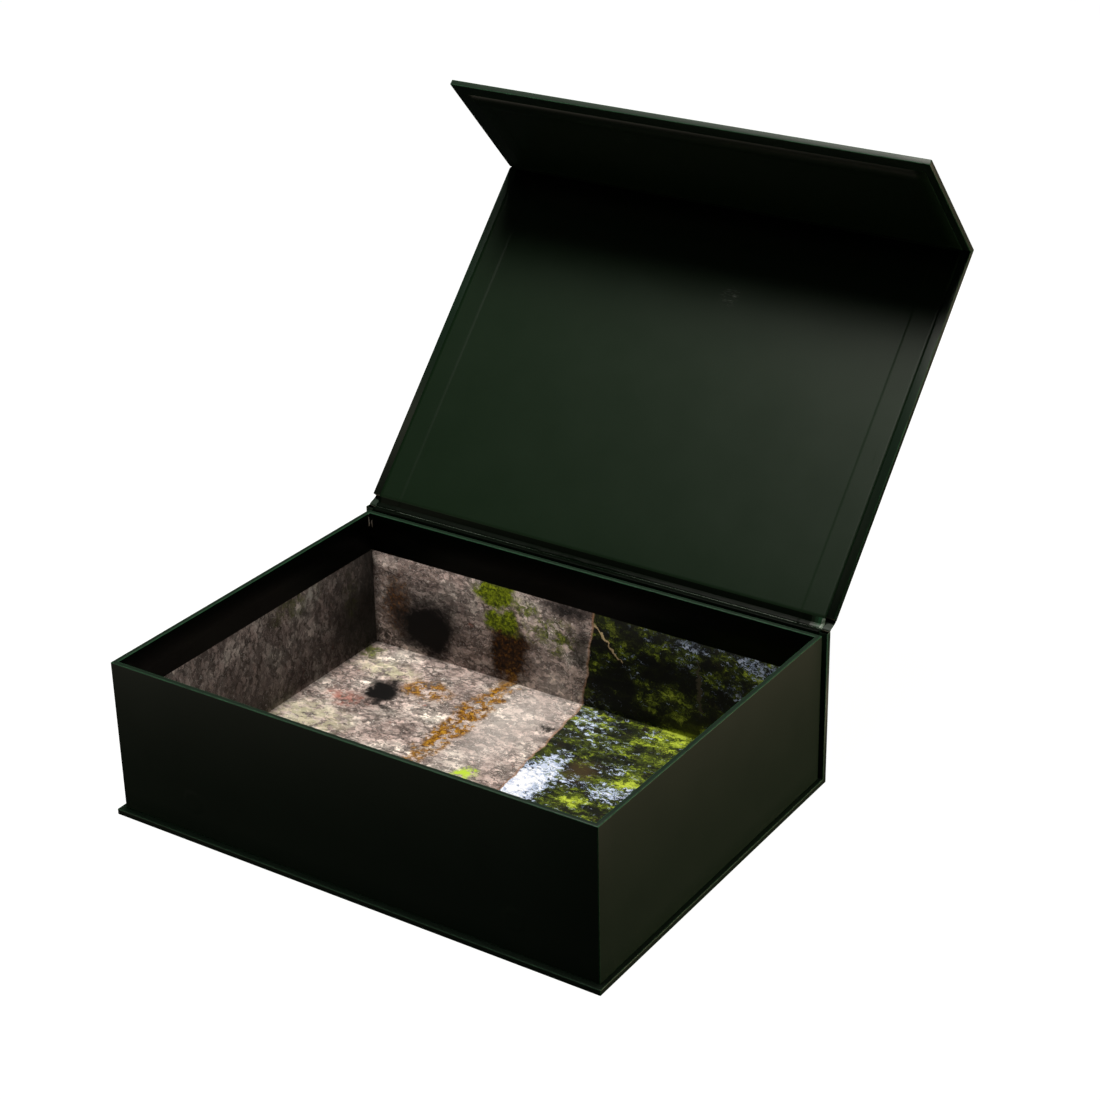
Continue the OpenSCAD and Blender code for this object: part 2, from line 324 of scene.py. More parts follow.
def add(tree, kind, inputs=None, stops=None, **settings):
    """Adds a node. An input is a value, a socket, or a node whose first output is meant."""
    node = tree.nodes.new(kind)
    for key, value in settings.items():
        setattr(node, key, value)
    if stops:
        ramp = node.color_ramp
        while len(ramp.elements) < len(stops):
            ramp.elements.new(1.0)
        for element, (position, shade) in zip(ramp.elements, stops):
            element.position = position
            element.color = linear(shade) if isinstance(shade, str) else (shade, shade, shade, 1.0)
    for key, value in (inputs or {}).items():
        if isinstance(value, bpy.types.Node):
            value = value.outputs[0]
        if isinstance(value, bpy.types.NodeSocket):
            tree.links.new(value, node.inputs[key])
        else:
            node.inputs[key].default_value = value
    return node


def new_material(name, base, **shader):
    """An empty material with its shader; base is its plain colour, for the viewport."""
    material = bpy.data.materials.new(name)
    material.use_nodes = True
    material.diffuse_color = base
    tree = material.node_tree
    tree.nodes.clear()
    out = add(tree, "ShaderNodeOutputMaterial")
    surface = add(tree, "ShaderNodeBsdfPrincipled")
    for key, value in shader.items():
        surface.inputs[key.replace("_", " ")].default_value = value
    tree.links.new(surface.outputs[0], out.inputs["Surface"])
    return material, tree, surface


def dyed_paper(name, base, worn, bare, specular, roughness, scuffs=(), chips=None):
    """Dyed, matt-laminated paper: dark and even, with a faint fibre grain that breaks up a broad
    sheen, rubbed lighter where it is folded round an edge, and darkened as painted shade where the
    value of its wear attribute is below zero. scuffs are (x, y, radius, strength), in mm."""
    material, tree, surface = new_material(name, base, IOR=1.5, Specular_IOR_Level=specular)
    place = add(tree, "ShaderNodeUVMap", uv_map="sheet")
    mm = add(tree, "ShaderNodeVectorMath", {0: place, 1: (1000, 1000, 1000)}, operation="MULTIPLY")
    # Fibres: about 0.5 mm long, drawn at 0.9 mm so that they show
    fibre = add(
        tree, "ShaderNodeTexNoise",
        {"Vector": mm, "Scale": 1.1, "Detail": 5.0, "Roughness": 0.65, "Distortion": 0.4},
    )
    # Cloudy wear of the laminate, 30 mm across
    cloud = add(tree, "ShaderNodeTexNoise", {"Vector": mm, "Scale": 0.033, "Detail": 6.0, "Roughness": 0.6})
    # Long hair scratches
    stretched = add(
        tree, "ShaderNodeMapping", {"Vector": mm, "Rotation": (0, 0, 0.5), "Scale": (0.9, 0.03, 1)}
    )
    scratch = add(tree, "ShaderNodeTexNoise", {"Vector": stretched, "Scale": 1.0, "Detail": 3.0})
    scratch_line = add(
        tree, RANGE,
        {"Value": scratch, "From Min": 0.7, "From Max": 0.76}, interpolation_type="SMOOTHSTEP",
    )
    tint = add(
        tree, RANGE,
        {"Value": fibre, "From Min": 0.3, "From Max": 0.7, "To Min": 0.86, "To Max": 1.14},
    )
    cloudy = add(
        tree, RANGE,
        {"Value": cloud, "From Min": 0.3, "From Max": 0.7, "To Min": 0.97, "To Max": 1.03},
    )
    shade = add(tree, "ShaderNodeMath", {0: tint, 1: cloudy}, operation="MULTIPLY")
    # Wear is 1 on the strips round an edge, above 1 where the dye cracks, and down to -1 where the
    # colour is darkened as painted shade: inside the tray's turn-in, on the spine's top and in the gutter
    edge = add(tree, "ShaderNodeAttribute", attribute_name="wear", attribute_type="GEOMETRY")
    painted_shade_factor = add(
        tree, RANGE, {"Value": edge.outputs["Fac"], "From Min": -1.0, "From Max": 0.0, "To Min": 0.08}
    )
    shade = add(tree, "ShaderNodeMath", {0: shade, 1: painted_shade_factor}, operation="MULTIPLY")
    # The dye's colour times the fibre tint and the painted shade
    dye_and_painted_shade = add(
        tree, "ShaderNodeVectorMath", {0: tuple(base[:3]), "Scale": shade}, operation="SCALE"
    )
    # The edges' strips are lighter in dashes 3 to 8 mm long
    dash = add(tree, "ShaderNodeTexNoise", {"Vector": mm, "Scale": 0.16, "Detail": 7.0, "Roughness": 0.7})
    rub = add(
        tree, RANGE,
        {"Value": dash, "From Min": 0.35, "From Max": 0.7, "To Min": 0.15, "To Max": 0.9},
    )
    rubbed = add(
        tree, "ShaderNodeMath", {0: edge.outputs["Fac"], 1: rub}, operation="MULTIPLY", use_clamp=True
    )
    coloured = add(
        tree, "ShaderNodeMix",
        {"Factor": rubbed, 6: dye_and_painted_shade, 7: worn}, data_type="RGBA",
    )
    # Cracks where the dye has come off: only where wear is above one
    over = add(
        tree, "ShaderNodeMath", {0: edge.outputs["Fac"], 1: 1.0}, operation="SUBTRACT", use_clamp=True
    )
    crack_grain = add(
        tree, "ShaderNodeTexNoise", {"Vector": mm, "Scale": 0.7, "Detail": 6.0, "Roughness": 0.75}
    )
    crack = add(
        tree, RANGE,
        {"Value": crack_grain, "From Min": 0.36, "From Max": 0.6}, interpolation_type="SMOOTHSTEP",
    )
    cracked = add(tree, "ShaderNodeMath", {0: over, 1: crack}, operation="MULTIPLY", use_clamp=True)
    last = add(
        tree, "ShaderNodeMix", {"Factor": cracked, 6: coloured.outputs[2], 7: bare}, data_type="RGBA"
    )
    for x, y, radius, weight in scuffs:
        away = add(tree, "ShaderNodeVectorMath", {0: mm, 1: (x, y, 0)}, operation="DISTANCE")
        near = add(
            tree, RANGE,
            {"Value": away.outputs["Value"], "From Min": radius, "From Max": radius * 0.3},
            interpolation_type="SMOOTHSTEP",
        )
        streaks = add(
            tree, "ShaderNodeMapping",
            {"Vector": mm, "Rotation": (0, 0, 0.3 - 0.1 * x / 9), "Scale": (0.16, 1.9, 1)},
        )
        hair = add(
            tree, "ShaderNodeTexNoise", {"Vector": streaks, "Scale": 1.0, "Detail": 4.0, "Distortion": 1.2}
        )
        line = add(
            tree, RANGE,
            {"Value": hair, "From Min": 0.55, "From Max": 0.72, "To Max": weight},
            interpolation_type="SMOOTHSTEP",
        )
        mark = add(tree, "ShaderNodeMath", {0: near, 1: line}, operation="MULTIPLY", use_clamp=True)
        last = add(tree, "ShaderNodeMix", {"Factor": mark, 6: last.outputs[2], 7: bare}, data_type="RGBA")
    if chips:
        last = chips(tree, last)
    tree.links.new(last.outputs[2], surface.inputs["Base Color"])
    rough = add(
        tree, RANGE,
        {"Value": cloud, "From Min": 0.3, "From Max": 0.7,
         "To Min": roughness - 0.015, "To Max": roughness + 0.015},
    )
    rougher = add(
        tree, "ShaderNodeMath", {0: scratch_line, 1: -0.08, 2: rough}, operation="MULTIPLY_ADD"
    )
    tree.links.new(rougher.outputs[0], surface.inputs["Roughness"])
    grain = add(tree, "ShaderNodeBump", {"Strength": 0.12, "Distance": 0.1 * MM, "Height": fibre})
    waves = add(
        tree, "ShaderNodeBump", {"Strength": 0.03, "Distance": 0.6 * MM, "Height": cloud, "Normal": grain}
    )
    tree.links.new(waves.outputs[0], surface.inputs["Normal"])
    return material


def inner_corner_chips(tree, last):
    """White chips down the tray's inner back left corner, where the folded paper has cracked."""
    corner = (PICTURE_LOW.x, PICTURE_HIGH.y)
    place = add(tree, "ShaderNodeTexCoord")
    flat = add(
        tree, "ShaderNodeVectorMath", {0: place.outputs["Object"], 1: (1, 1, 0)}, operation="MULTIPLY"
    )
    away = add(tree, "ShaderNodeVectorMath", {0: flat, 1: (*corner, 0)}, operation="DISTANCE")
    near = add(
        tree, RANGE,
        {"Value": away.outputs["Value"], "From Min": 2.0 * MM, "From Max": 0.9 * MM},
    )
    along = add(
        tree, "ShaderNodeTexNoise", {"Vector": place.outputs["Object"], "Scale": 160.0, "Detail": 4.0}
    )
    flake = add(
        tree, RANGE,
        {"Value": along, "From Min": 0.47, "From Max": 0.53}, interpolation_type="SMOOTHSTEP",
    )
    mark = add(tree, "ShaderNodeMath", {0: near, 1: flake}, operation="MULTIPLY", use_clamp=True)
    return add(
        tree, "ShaderNodeMix", {"Factor": mark, 6: last.outputs[2], 7: linear("d7d4cb")}, data_type="RGBA"
    )


def paper_edge(name, base):
    """The cut edge of a dyed sheet: its core is paler than its face, and it reads as a fine line."""
    material, tree, surface = new_material(name, base, Roughness=0.8, Specular_IOR_Level=0.2)
    place = add(tree, "ShaderNodeTexCoord")
    fibre = add(
        tree, "ShaderNodeTexNoise", {"Vector": place.outputs["Object"], "Scale": 700.0, "Detail": 4.0}
    )
    shade = add(
        tree, "ShaderNodeMix", {"Factor": fibre, 6: [c * 0.5 for c in base[:3]] + [1], 7: base},
        data_type="RGBA",
    )
    tree.links.new(shade.outputs[2], surface.inputs["Base Color"])
    return material


def greyboard(base):
    """Greyboard pressed from recycled pulp: dull, with darker and paler flecks of fibre."""
    material, tree, surface = new_material("greyboard pressed pulp", base, Specular_IOR_Level=0.2)
    place = add(tree, "ShaderNodeTexCoord")
    pulp = add(
        tree, "ShaderNodeTexNoise",
        {"Vector": place.outputs["Object"], "Scale": 320.0, "Detail": 8.0, "Roughness": 0.7},
    )
    tone = add(
        tree, "ShaderNodeValToRGB", {"Fac": pulp},
        stops=[(0.25, "5f5b52"), (0.45, "87816f"), (0.6, "989284"), (0.8, "b9b3a4")],
    )
    fleck = add(tree, "ShaderNodeTexVoronoi", {"Vector": place.outputs["Object"], "Scale": 260.0})
    dark = add(
        tree, RANGE, {"Value": fleck, "From Min": 0.05, "From Max": 0.16, "To Min": 0.6},
    )
    mixed = add(
        tree, "ShaderNodeVectorMath", {0: tone, "Scale": dark}, operation="SCALE"
    )
    tree.links.new(mixed.outputs[0], surface.inputs["Base Color"])
    rough = add(tree, RANGE, {"Value": pulp, "To Min": 0.8, "To Max": 0.95})
    tree.links.new(rough.outputs[0], surface.inputs["Roughness"])
    bump = add(tree, "ShaderNodeBump", {"Strength": 0.4, "Distance": 0.15 * MM, "Height": pulp})
    tree.links.new(bump.outputs[0], surface.inputs["Normal"])
    return material


def kraft_stay(base):
    """Gummed kraft paper: brown, with long pale fibres that lie across the tape."""
    material, tree, surface = new_material(
        "kraft stay gummed", base, Roughness=0.75, Specular_IOR_Level=0.3
    )
    place = add(tree, "ShaderNodeTexCoord")
    stretched = add(
        tree, "ShaderNodeMapping", {"Vector": place.outputs["Object"], "Scale": (900, 900, 160)}
    )
    fibre = add(tree, "ShaderNodeTexNoise", {"Vector": stretched, "Scale": 1.0, "Detail": 5.0})
    tone = add(
        tree, "ShaderNodeValToRGB", {"Fac": fibre},
        stops=[(0.3, "8a6f45"), (0.55, "b1945f"), (0.8, "d0b883")],
    )
    tree.links.new(tone.outputs[0], surface.inputs["Base Color"])
    bump = add(tree, "ShaderNodeBump", {"Strength": 0.3, "Distance": 0.05 * MM, "Height": fibre})
    tree.links.new(bump.outputs[0], surface.inputs["Normal"])
    return material


def plated_nickel(base):
    """Nickel barrel-plated on a sintered magnet: bright, with a fine satin haze and small dings."""
    material, tree, surface = new_material("nickel barrel plated", base, Metallic=1.0)
    place = add(tree, "ShaderNodeTexCoord")
    haze = add(
        tree, "ShaderNodeTexNoise", {"Vector": place.outputs["Object"], "Scale": 900.0, "Detail": 6.0}
    )
    tone = add(
        tree, "ShaderNodeMix", {"Factor": haze, 6: base, 7: linear("9c9d9a")}, data_type="RGBA"
    )
    tree.links.new(tone.outputs[2], surface.inputs["Base Color"])
    rough = add(tree, RANGE, {"Value": haze, "To Min": 0.18, "To Max": 0.4})
    tree.links.new(rough.outputs[0], surface.inputs["Roughness"])
    return material


def patch(tree, ragged, centre, radius, softness=0.35):
    """An irregular patch of the print: 1 inside and 0 outside. radius is (across, along) in mm."""
    off = add(tree, "ShaderNodeVectorMath", {0: ragged, 1: (*centre, 0)}, operation="SUBTRACT")
    scaled = add(
        tree, "ShaderNodeVectorMath", {0: off, 1: (1 / radius[0], 1 / radius[1], 0)}, operation="MULTIPLY"
    )
    away = add(tree, "ShaderNodeVectorMath", {0: scaled}, operation="LENGTH")
    return add(
        tree, RANGE,
        {"Value": away.outputs["Value"], "From Min": 1 + softness, "From Max": 1 - softness},
        interpolation_type="SMOOTHSTEP",
    )


def streak(tree, ragged, start, end, width):
    """An irregular band of the print from start to end."""
    middle = [(a + b) / 2 for a, b in zip(start, end)]
    along = Vector((end[0] - start[0], end[1] - start[1]))
    turned = add(
        tree, "ShaderNodeMapping",
        {"Vector": ragged, "Location": (*middle, 0), "Rotation": (0, 0, math.atan2(along.y, along.x))},
        vector_type="TEXTURE",
    )
    scaled = add(
        tree, "ShaderNodeVectorMath", {0: turned, 1: (2 / along.length, 1 / width, 0)}, operation="MULTIPLY"
    )
    away = add(tree, "ShaderNodeVectorMath", {0: scaled}, operation="LENGTH")
    return add(
        tree, RANGE,
        {"Value": away.outputs["Value"], "From Min": 1.25, "From Max": 0.75},
        interpolation_type="SMOOTHSTEP",
    )


def laid_over(tree, below, colour_of, mask, strength=1.0):
    """One layer of the print laid over what is below it, where its mask says."""
    factor = add(tree, "ShaderNodeMath", {0: mask, 1: strength}, operation="MULTIPLY", use_clamp=True)
    return add(
        tree, "ShaderNodeMix", {"Factor": factor, 6: below, 7: colour_of}, data_type="RGBA"
    ).outputs[2]


def rock_layer(tree, mm, ragged, teeth):
    """Flaky pinkish-grey rock: angular facets, black cracks and white chips, with dark hollows,
    orange lichen and moss."""
    jolted = add(tree, "ShaderNodeVectorMath", {0: teeth, 1: (7, 7, 0), 2: mm}, operation="MULTIPLY_ADD")
    slanted = add(
        tree, "ShaderNodeMapping", {"Vector": jolted, "Rotation": (0, 0, 0.5), "Scale": (0.75, 1.5, 1)}
    )
    ground = add(
        tree, "ShaderNodeTexNoise", {"Vector": mm, "Scale": 0.035, "Detail": 6.0, "Roughness": 0.65}
    )
    rock = add(
        tree, "ShaderNodeValToRGB", {"Fac": ground},
        stops=[(0.32, "766761"), (0.46, "a7958f"), (0.54, "bdaea7"), (0.68, "dfd6cb")],
    ).outputs[0]
    # Facets 8 mm and 2 mm across, each of its own tone
    for scale, low, high in ((0.12, 0.72, 1.22), (0.5, 0.5, 1.45)):
        facet = add(tree, "ShaderNodeTexVoronoi", {"Vector": slanted, "Scale": scale})
        tone = add(tree, "ShaderNodeSeparateColor", {"Color": facet.outputs["Color"]})
        lit = add(
            tree, RANGE,
            {"Value": tone.outputs[0], "From Min": 0.05, "From Max": 0.95, "To Min": low, "To Max": high},
        )
        rock = add(tree, "ShaderNodeVectorMath", {0: rock, "Scale": lit}, operation="SCALE").outputs[0]
    # Cracks between the facets, opened and closed by a slow noise
    gaps = add(
        tree, "ShaderNodeTexVoronoi", {"Vector": slanted, "Scale": 0.2}, feature="DISTANCE_TO_EDGE"
    )
    reach = add(tree, "ShaderNodeTexNoise", {"Vector": slanted, "Scale": 0.1, "Detail": 3.0})
    width = add(tree, RANGE, {"Value": reach, "From Min": 0.42, "From Max": 0.68, "To Max": 0.3})
    crack = add(tree, "ShaderNodeMath", {0: gaps.outputs["Distance"], 1: width}, operation="LESS_THAN")
    rock = laid_over(tree, rock, linear("1d1614"), crack, 0.6)
    pits = add(
        tree, "ShaderNodeTexNoise",
        {"Vector": slanted, "Scale": 0.85, "Detail": 6.0, "Roughness": 0.75, "Distortion": 0.8},
    )
    # Iron-red stains and pale crusts, 5 to 20 mm across
    stain = add(
        tree, "ShaderNodeTexNoise", {"Vector": slanted, "Scale": 0.09, "Detail": 8.0, "Roughness": 0.75}
    )
    # (colour, noise, where it starts and is full, strength)
    for shade, value, start, full, strength in (
        ("0c0908", pits, 0.4, 0.34, 0.9), ("fdf8f2", pits, 0.57, 0.64, 0.85),
        ("b5604a", stain, 0.63, 0.69, 0.7), ("d9d4ae", stain, 0.37, 0.3, 0.6),
    ):
        mask = add(tree, RANGE, {"Value": value, "From Min": start, "From Max": full})
        rock = laid_over(tree, rock, linear(shade), mask, strength)
    leafy = add(
        tree, "ShaderNodeTexNoise", {"Vector": jolted, "Scale": 0.45, "Detail": 8.0, "Roughness": 0.8}
    )
    lichen = add(
        tree, "ShaderNodeValToRGB", {"Fac": leafy},
        stops=[(0.38, "120a03"), (0.46, "5a360b"), (0.54, "a06f17"), (0.62, "d3a52f"), (0.75, "ecd272")],
    )
    moss = add(
        tree, "ShaderNodeValToRGB", {"Fac": leafy},
        stops=[(0.38, "0d1002"), (0.47, "3a4406"), (0.55, "6d7a0e"), (0.68, "a4b02a")],
    )
    peat = add(
        tree, "ShaderNodeValToRGB", {"Fac": leafy},
        stops=[(0.4, "030201"), (0.52, "2a1708"), (0.62, "6b4312"), (0.74, "b07a22")],
    )
    clump = add(
        tree, "ShaderNodeTexNoise", {"Vector": jolted, "Scale": 0.17, "Detail": 7.0, "Roughness": 0.7}
    )
    clumps = add(tree, RANGE, {"Value": clump, "From Min": 0.46, "From Max": 0.51})
    black = linear("040303")
    edge = PICTURE_HIGH.y / MM
    # (layer, centre, radius, softness, strength, broken into clumps)
    layers = [
        (linear("b5604a"), (-121, 42), (12, 6), 0.6, 0.5, True),
        (linear("dcd8b4"), (-120, 80), (20, 8), 0.6, 0.6, True),
        (linear("dcd8b4"), (-126, 14), (24, 14), 0.6, 0.5, True),
        (linear("f2ebe6"), (-22, 66), (20, 44), 0.8, 0.3, False),
        (moss, (-141, 94), (8, 6), 0.5, 0.8, True),
        (black, (-106, 58), (11, 13), 0.3, 1.0, False),
        (black, (-99, 45), (10, 4), 0.5, 0.9, True),
        (lichen, (-84, 73), (15, 9), 0.4, 0.95, True),
        (linear("100c0a"), (-100, edge + 36), (34, 14), 0.8, 0.75, False),
        (peat, (-131, edge + 28), (11, 20), 0.5, 0.9, False),
        (black, (-108, edge + 18), (22, 17), 0.35, 1.0, False),
        (black, (-140, edge + 4), (20, 6), 0.6, 0.8, True),
        (peat, (-50, edge + 20), (15, 22), 0.4, 1.0, False),
        (moss, (-58, edge + 55), (14, 8), 0.3, 1.0, False),
        (moss, (-55, edge + 37), (12, 8), 0.3, 1.0, False),
        (moss, (-38, edge + 50), (7, 5), 0.5, 0.9, True),
        (moss, (-20, edge + 38), (16, 8), 0.7, 0.9, True),
        (black, (0, edge + 36), (7, 14), 0.6, 0.8, False),
        (black, (-10, edge + 57), (22, 6), 0.6, 0.9, False),
        (linear("17120f"), (-172, 88), (20, 26), 0.7, 0.8, False),
        (moss, (-186, 84), (14, 6), 0.6, 0.35, True),
        (moss, (-204, 34), (8, 18), 0.6, 0.6, True),
        (linear("efe9e2"), (-203, 48), (6, 4), 0.5, 0.7, True),
        (linear("b9d63f"), (-13, 9), (6, 6), 0.5, 1.0, True),
        (black, (0, 71), (5, 4), 0.4, 0.9, True),
    ]
    for shade, centre, radius, softness, strength, broken in layers:
        mask = patch(tree, ragged, centre, radius, softness)
        if broken:
            mask = add(tree, "ShaderNodeMath", {0: mask, 1: clumps}, operation="MULTIPLY")
        rock = laid_over(tree, rock, shade, mask, strength)
    band = streak(tree, ragged, (-50, 112), (-46, 0), 9)
    masked = add(tree, "ShaderNodeMath", {0: band, 1: clumps}, operation="MULTIPLY")
    return laid_over(tree, rock, lichen, masked)


def foliage_layer(tree, mm, ragged, teeth):
    """Drooping sprays of leaves, nearly black between, with small ragged holes of bright sky."""
    jolted = add(tree, "ShaderNodeVectorMath", {0: teeth, 1: (9, 9, 0), 2: mm}, operation="MULTIPLY_ADD")
    drooping = add(
        tree, "ShaderNodeMapping", {"Vector": jolted, "Rotation": (0, 0, 0.45), "Scale": (0.45, 1.3, 1)}
    )
    sprays = add(
        tree, "ShaderNodeTexNoise",
        {"Vector": drooping, "Scale": 0.12, "Detail": 3.0, "Roughness": 0.55, "Distortion": 0.6},
    )
    blades = add(
        tree, "ShaderNodeTexNoise", {"Vector": drooping, "Scale": 0.75, "Detail": 5.0, "Roughness": 0.7}
    )
    leaves = add(tree, "ShaderNodeTexVoronoi", {"Vector": drooping, "Scale": 0.9})
    leaf_tone = add(tree, "ShaderNodeSeparateColor", {"Color": leaves.outputs["Color"]})
    edge = PICTURE_HIGH.y / MM
    # Sprays that catch the light, and dark masses: (centre, radius, how much lighter)
    light = sprays
    for value, gain in ((leaf_tone.outputs[0], 0.2), (blades, 0.9)):
        light = add(tree, "ShaderNodeMath", {0: value, 1: gain, 2: light}, operation="MULTIPLY_ADD")
    masses = [
        ((64, 100), (14, 16), 0.17), ((66, 48), (8, 9), 0.2), ((52, 19), (9, 6), 0.2),
        ((22, edge + 52), (15, 9), 0.1), ((52, edge + 18), (26, 8), 0.08), ((84, edge + 2), (22, 6), 0.26),
        ((92, edge + 50), (24, 6), 0.05), ((38, 45), (9, 9), -0.08), ((50, 60), (14, 8), -0.1),
        ((22, edge + 14), (16, 12), -0.15), ((40, edge + 36), (20, 8), -0.08),
        ((96, edge + 26), (22, 10), -0.1),
    ]
    for centre, radius, gain in masses:
        spot = patch(tree, ragged, centre, radius, 0.6)
        light = add(tree, "ShaderNodeMath", {0: spot, 1: gain, 2: light}, operation="MULTIPLY_ADD")
    brightness = add(tree, RANGE, {"Value": light, "From Min": 0.82, "From Max": 1.42})
    leaf = add(
        tree, "ShaderNodeValToRGB", {"Fac": brightness},
        stops=[(0.0, "030401"), (0.28, "141b06"), (0.5, "3f4a10"), (0.7, "76871f"), (0.92, "bccd44")],
    ).outputs[0]
    bough = add(
        tree, "ShaderNodeTexNoise", {"Vector": ragged, "Scale": 0.05, "Detail": 3.0, "Distortion": 1.5}
    )
    off_middle = add(tree, "ShaderNodeMath", {0: bough, 1: 0.5}, operation="SUBTRACT")
    thin = add(tree, "ShaderNodeMath", {0: off_middle}, operation="ABSOLUTE")
    boughs = add(tree, RANGE, {"Value": thin, "From Min": 0.014, "From Max": 0.005})
    leaf = laid_over(tree, leaf, linear("221a10"), boughs, 0.85)
    brown = patch(tree, ragged, (39, 44), (9, 10), 0.6)
    leaf = laid_over(tree, leaf, linear("5d4a2e"), brown, 0.35)
    # Sky shows through: (centre, radius, how open)
    openings = [
        ((18, 20), (12, 20), 0.3), ((22, 50), (7, 10), 0.12), ((19, 86), (13, 13), 0.09),
        ((36, 73), (9, 7), 0.07), ((54, 55), (14, 5), 0.08), ((64, 33), (11, 8), 0.15),
        ((38, 32), (9, 6), 0.11), ((8, 100), (10, 12), 0.07), ((52, 96), (8, 5), 0.06),
        ((60, edge + 58), (24, 6), 0.07), ((72, edge + 57), (9, 5), 0.09),
        ((114, edge + 57), (18, 7), 0.13),
        ((72, edge + 43), (11, 7), 0.08), ((98, edge + 36), (9, 6), 0.11), ((34, edge + 32), (9, 7), 0.05),
        ((122, edge + 44), (14, 8), 0.07), ((30, -60), (60, 50), 0.12),
    ]
    openness = 0.0
    for centre, radius, weight in openings:
        spot = patch(tree, ragged, centre, radius, 0.8)
        openness = add(
            tree, "ShaderNodeMath", {0: spot, 1: weight, 2: openness}, operation="MULTIPLY_ADD"
        )
    speck = add(
        tree, "ShaderNodeTexNoise", {"Vector": drooping, "Scale": 0.42, "Detail": 6.0, "Roughness": 0.7}
    )
    open_sky = add(tree, "ShaderNodeMath", {0: speck, 1: openness}, operation="ADD")
    haze = add(tree, RANGE, {"Value": open_sky, "From Min": 0.62, "From Max": 0.9})
    sky = add(
        tree, "ShaderNodeValToRGB", {"Fac": haze},
        stops=[(0.0, "8ea6cf"), (0.3, "c8d4ee"), (0.7, "ffffff")],
    )
    holes = add(tree, RANGE, {"Value": open_sky, "From Min": 0.63, "From Max": 0.65})
    return laid_over(tree, leaf, sky, holes)


